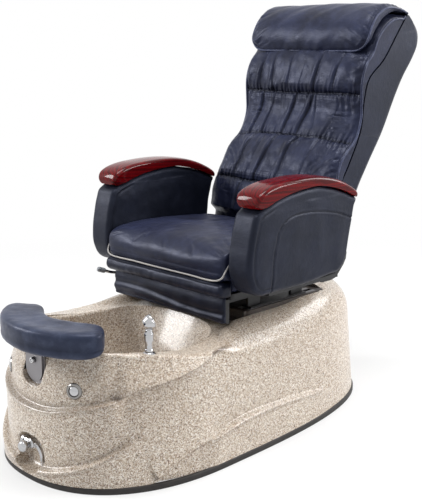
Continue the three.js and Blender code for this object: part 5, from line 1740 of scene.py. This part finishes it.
def make_arm(name, side):
    section = resample(rounded(ARM_FRONT + [[y, z - 1.2] for y, z in CAP_FOOT] + ARM_REAR, 8), 380, True)
    inner, outer = sorted((side * ARM_INNER, side * ARM_OUTER))
    arm = piece(
        f"arm_upholstery_{name}", *sweep(section, inner, outer, 17, 22, 44), shaded_navy_leather, "seat",
        "leather_navy", [f"arm_pad_{name}"], sharp=60,
    )
    loop = np.vstack([section, section[:1]])
    soft, small = field(91 + side, 6, 90, 240), field(95 + side, 8, 30, 70)

    def relief(co, normal):
        y, z = co[:, 1], co[:, 2]
        _, rim = locate(loop, y, z)
        flank = smooth(0.4, 0.9, np.abs(normal[:, 0]))
        outside = smooth(0.4, 0.9, side * normal[:, 0])
        front = (1 - smooth(150, 205, y)) * smooth(487, 500, z)
        _, arch = locate(ARM_ARCH, y, z)
        border = bell(rim - 20, 2.6) * front * flank
        sewn = bell(arch, 2.8) * outside
        welt = bell(arch - 5, 4) * outside
        move = 0.7 * soft(y, z) + 0.2 * small(y, z) - 3.0 * border - 3.2 * sewn + 0.8 * welt
        move = move + flank * 2.2 * smooth(12, 60, rim)
        return move * smooth(0, 4, 752 - z), border + sewn

    press(arm, relief)
    middle = side * (ARM_INNER + ARM_OUTER) / 2
    (points, faces), _, _ = panel(CAP_TOP, CAP_FOOT, CAP_HALF, 12, 11, 0, 4, 150, 14, cap_width)
    points = points + np.array([middle, 0, 0])
    piece(f"arm_top_{name}", points, faces, cherry, "seat", "cherry_wood", [f"arm_cap_{name}"], sharp=48)


for name, side in SIDES:
    make_arm(name, side)


# ---------------------------------------------------------------- footrest
FOOTREST = {"half": 199.0, "front": 466.0, "depth": 128.0, "sag": 78.0, "foot": 389.0, "top": 456.0}


def make_footrest():
    """A crescent pad with a boxy section that thins towards its horns."""
    half, depth, low, top = (FOOTREST[k] for k in ("half", "depth", "foot", "top"))
    radius = (half**2 + FOOTREST["sag"] ** 2) / (2 * FOOTREST["sag"])
    centre = -FOOTREST["front"] + radius
    spread = math.asin((half - 14) / (radius - depth / 2))
    middle = (low + top) / 2
    angle = stations(112)
    c, s = np.cos(angle), np.sin(angle)
    across = np.sign(c) * np.abs(c) ** (2 / 5.2)
    up = np.sign(s) * np.abs(s) ** np.where(s > 0, 2 / 4.4, 2 / 4.5)
    rings = []
    for u in np.linspace(-1, 1, 150):
        eased = math.sin(u * math.pi / 2)
        thin = max(0.06, (1 - abs(eased) ** 9) ** (1 / 3.0))
        under = np.maximum(np.maximum(up * thin, -1), up * (0.6 + 0.4 * thin))
        over = up * (0.55 + 0.45 * thin)
        reach = radius - depth / 2 + across * depth * thin / 2
        turn = eased * spread
        height = middle + (top - low) / 2 * np.where(up < 0, under, over)
        height = height - 12 * smooth(0.25, 0.8, across) * smooth(0.2, -0.6, up) * thin
        rings.append(np.column_stack([reach * math.sin(turn), centre - reach * math.cos(turn), height]))
    pad = piece(
        "footrest_cover", *loft(rings), lit_foot_leather, "footrest", "leather_navy", ["footrest_pad"], sharp=60
    )
    soft, small = field(101, 6, 70, 180), field(102, 7, 22, 50)

    def relief(co, normal):
        x, y, z = co.T
        reach = np.hypot(x, y - centre)
        upward = smooth(0.3, 0.85, normal[:, 2])
        hollow = bell(reach - radius + depth / 2, 34) * bell(x, 150)
        seam = bell(z - 404, 2.0) * smooth(0.3, 0.8, np.hypot(normal[:, 0], normal[:, 1]))
        move = upward * (-4.5 * hollow) + 0.7 * soft(x, y + z) + 0.2 * small(x, y + z) - 1.8 * seam
        return move, 0.8 * seam

    press(pad, relief)


make_footrest()


# ---------------------------------------------------------------- sizes and end
def plain(box):
    return [list(box[0]), list(box[1])]
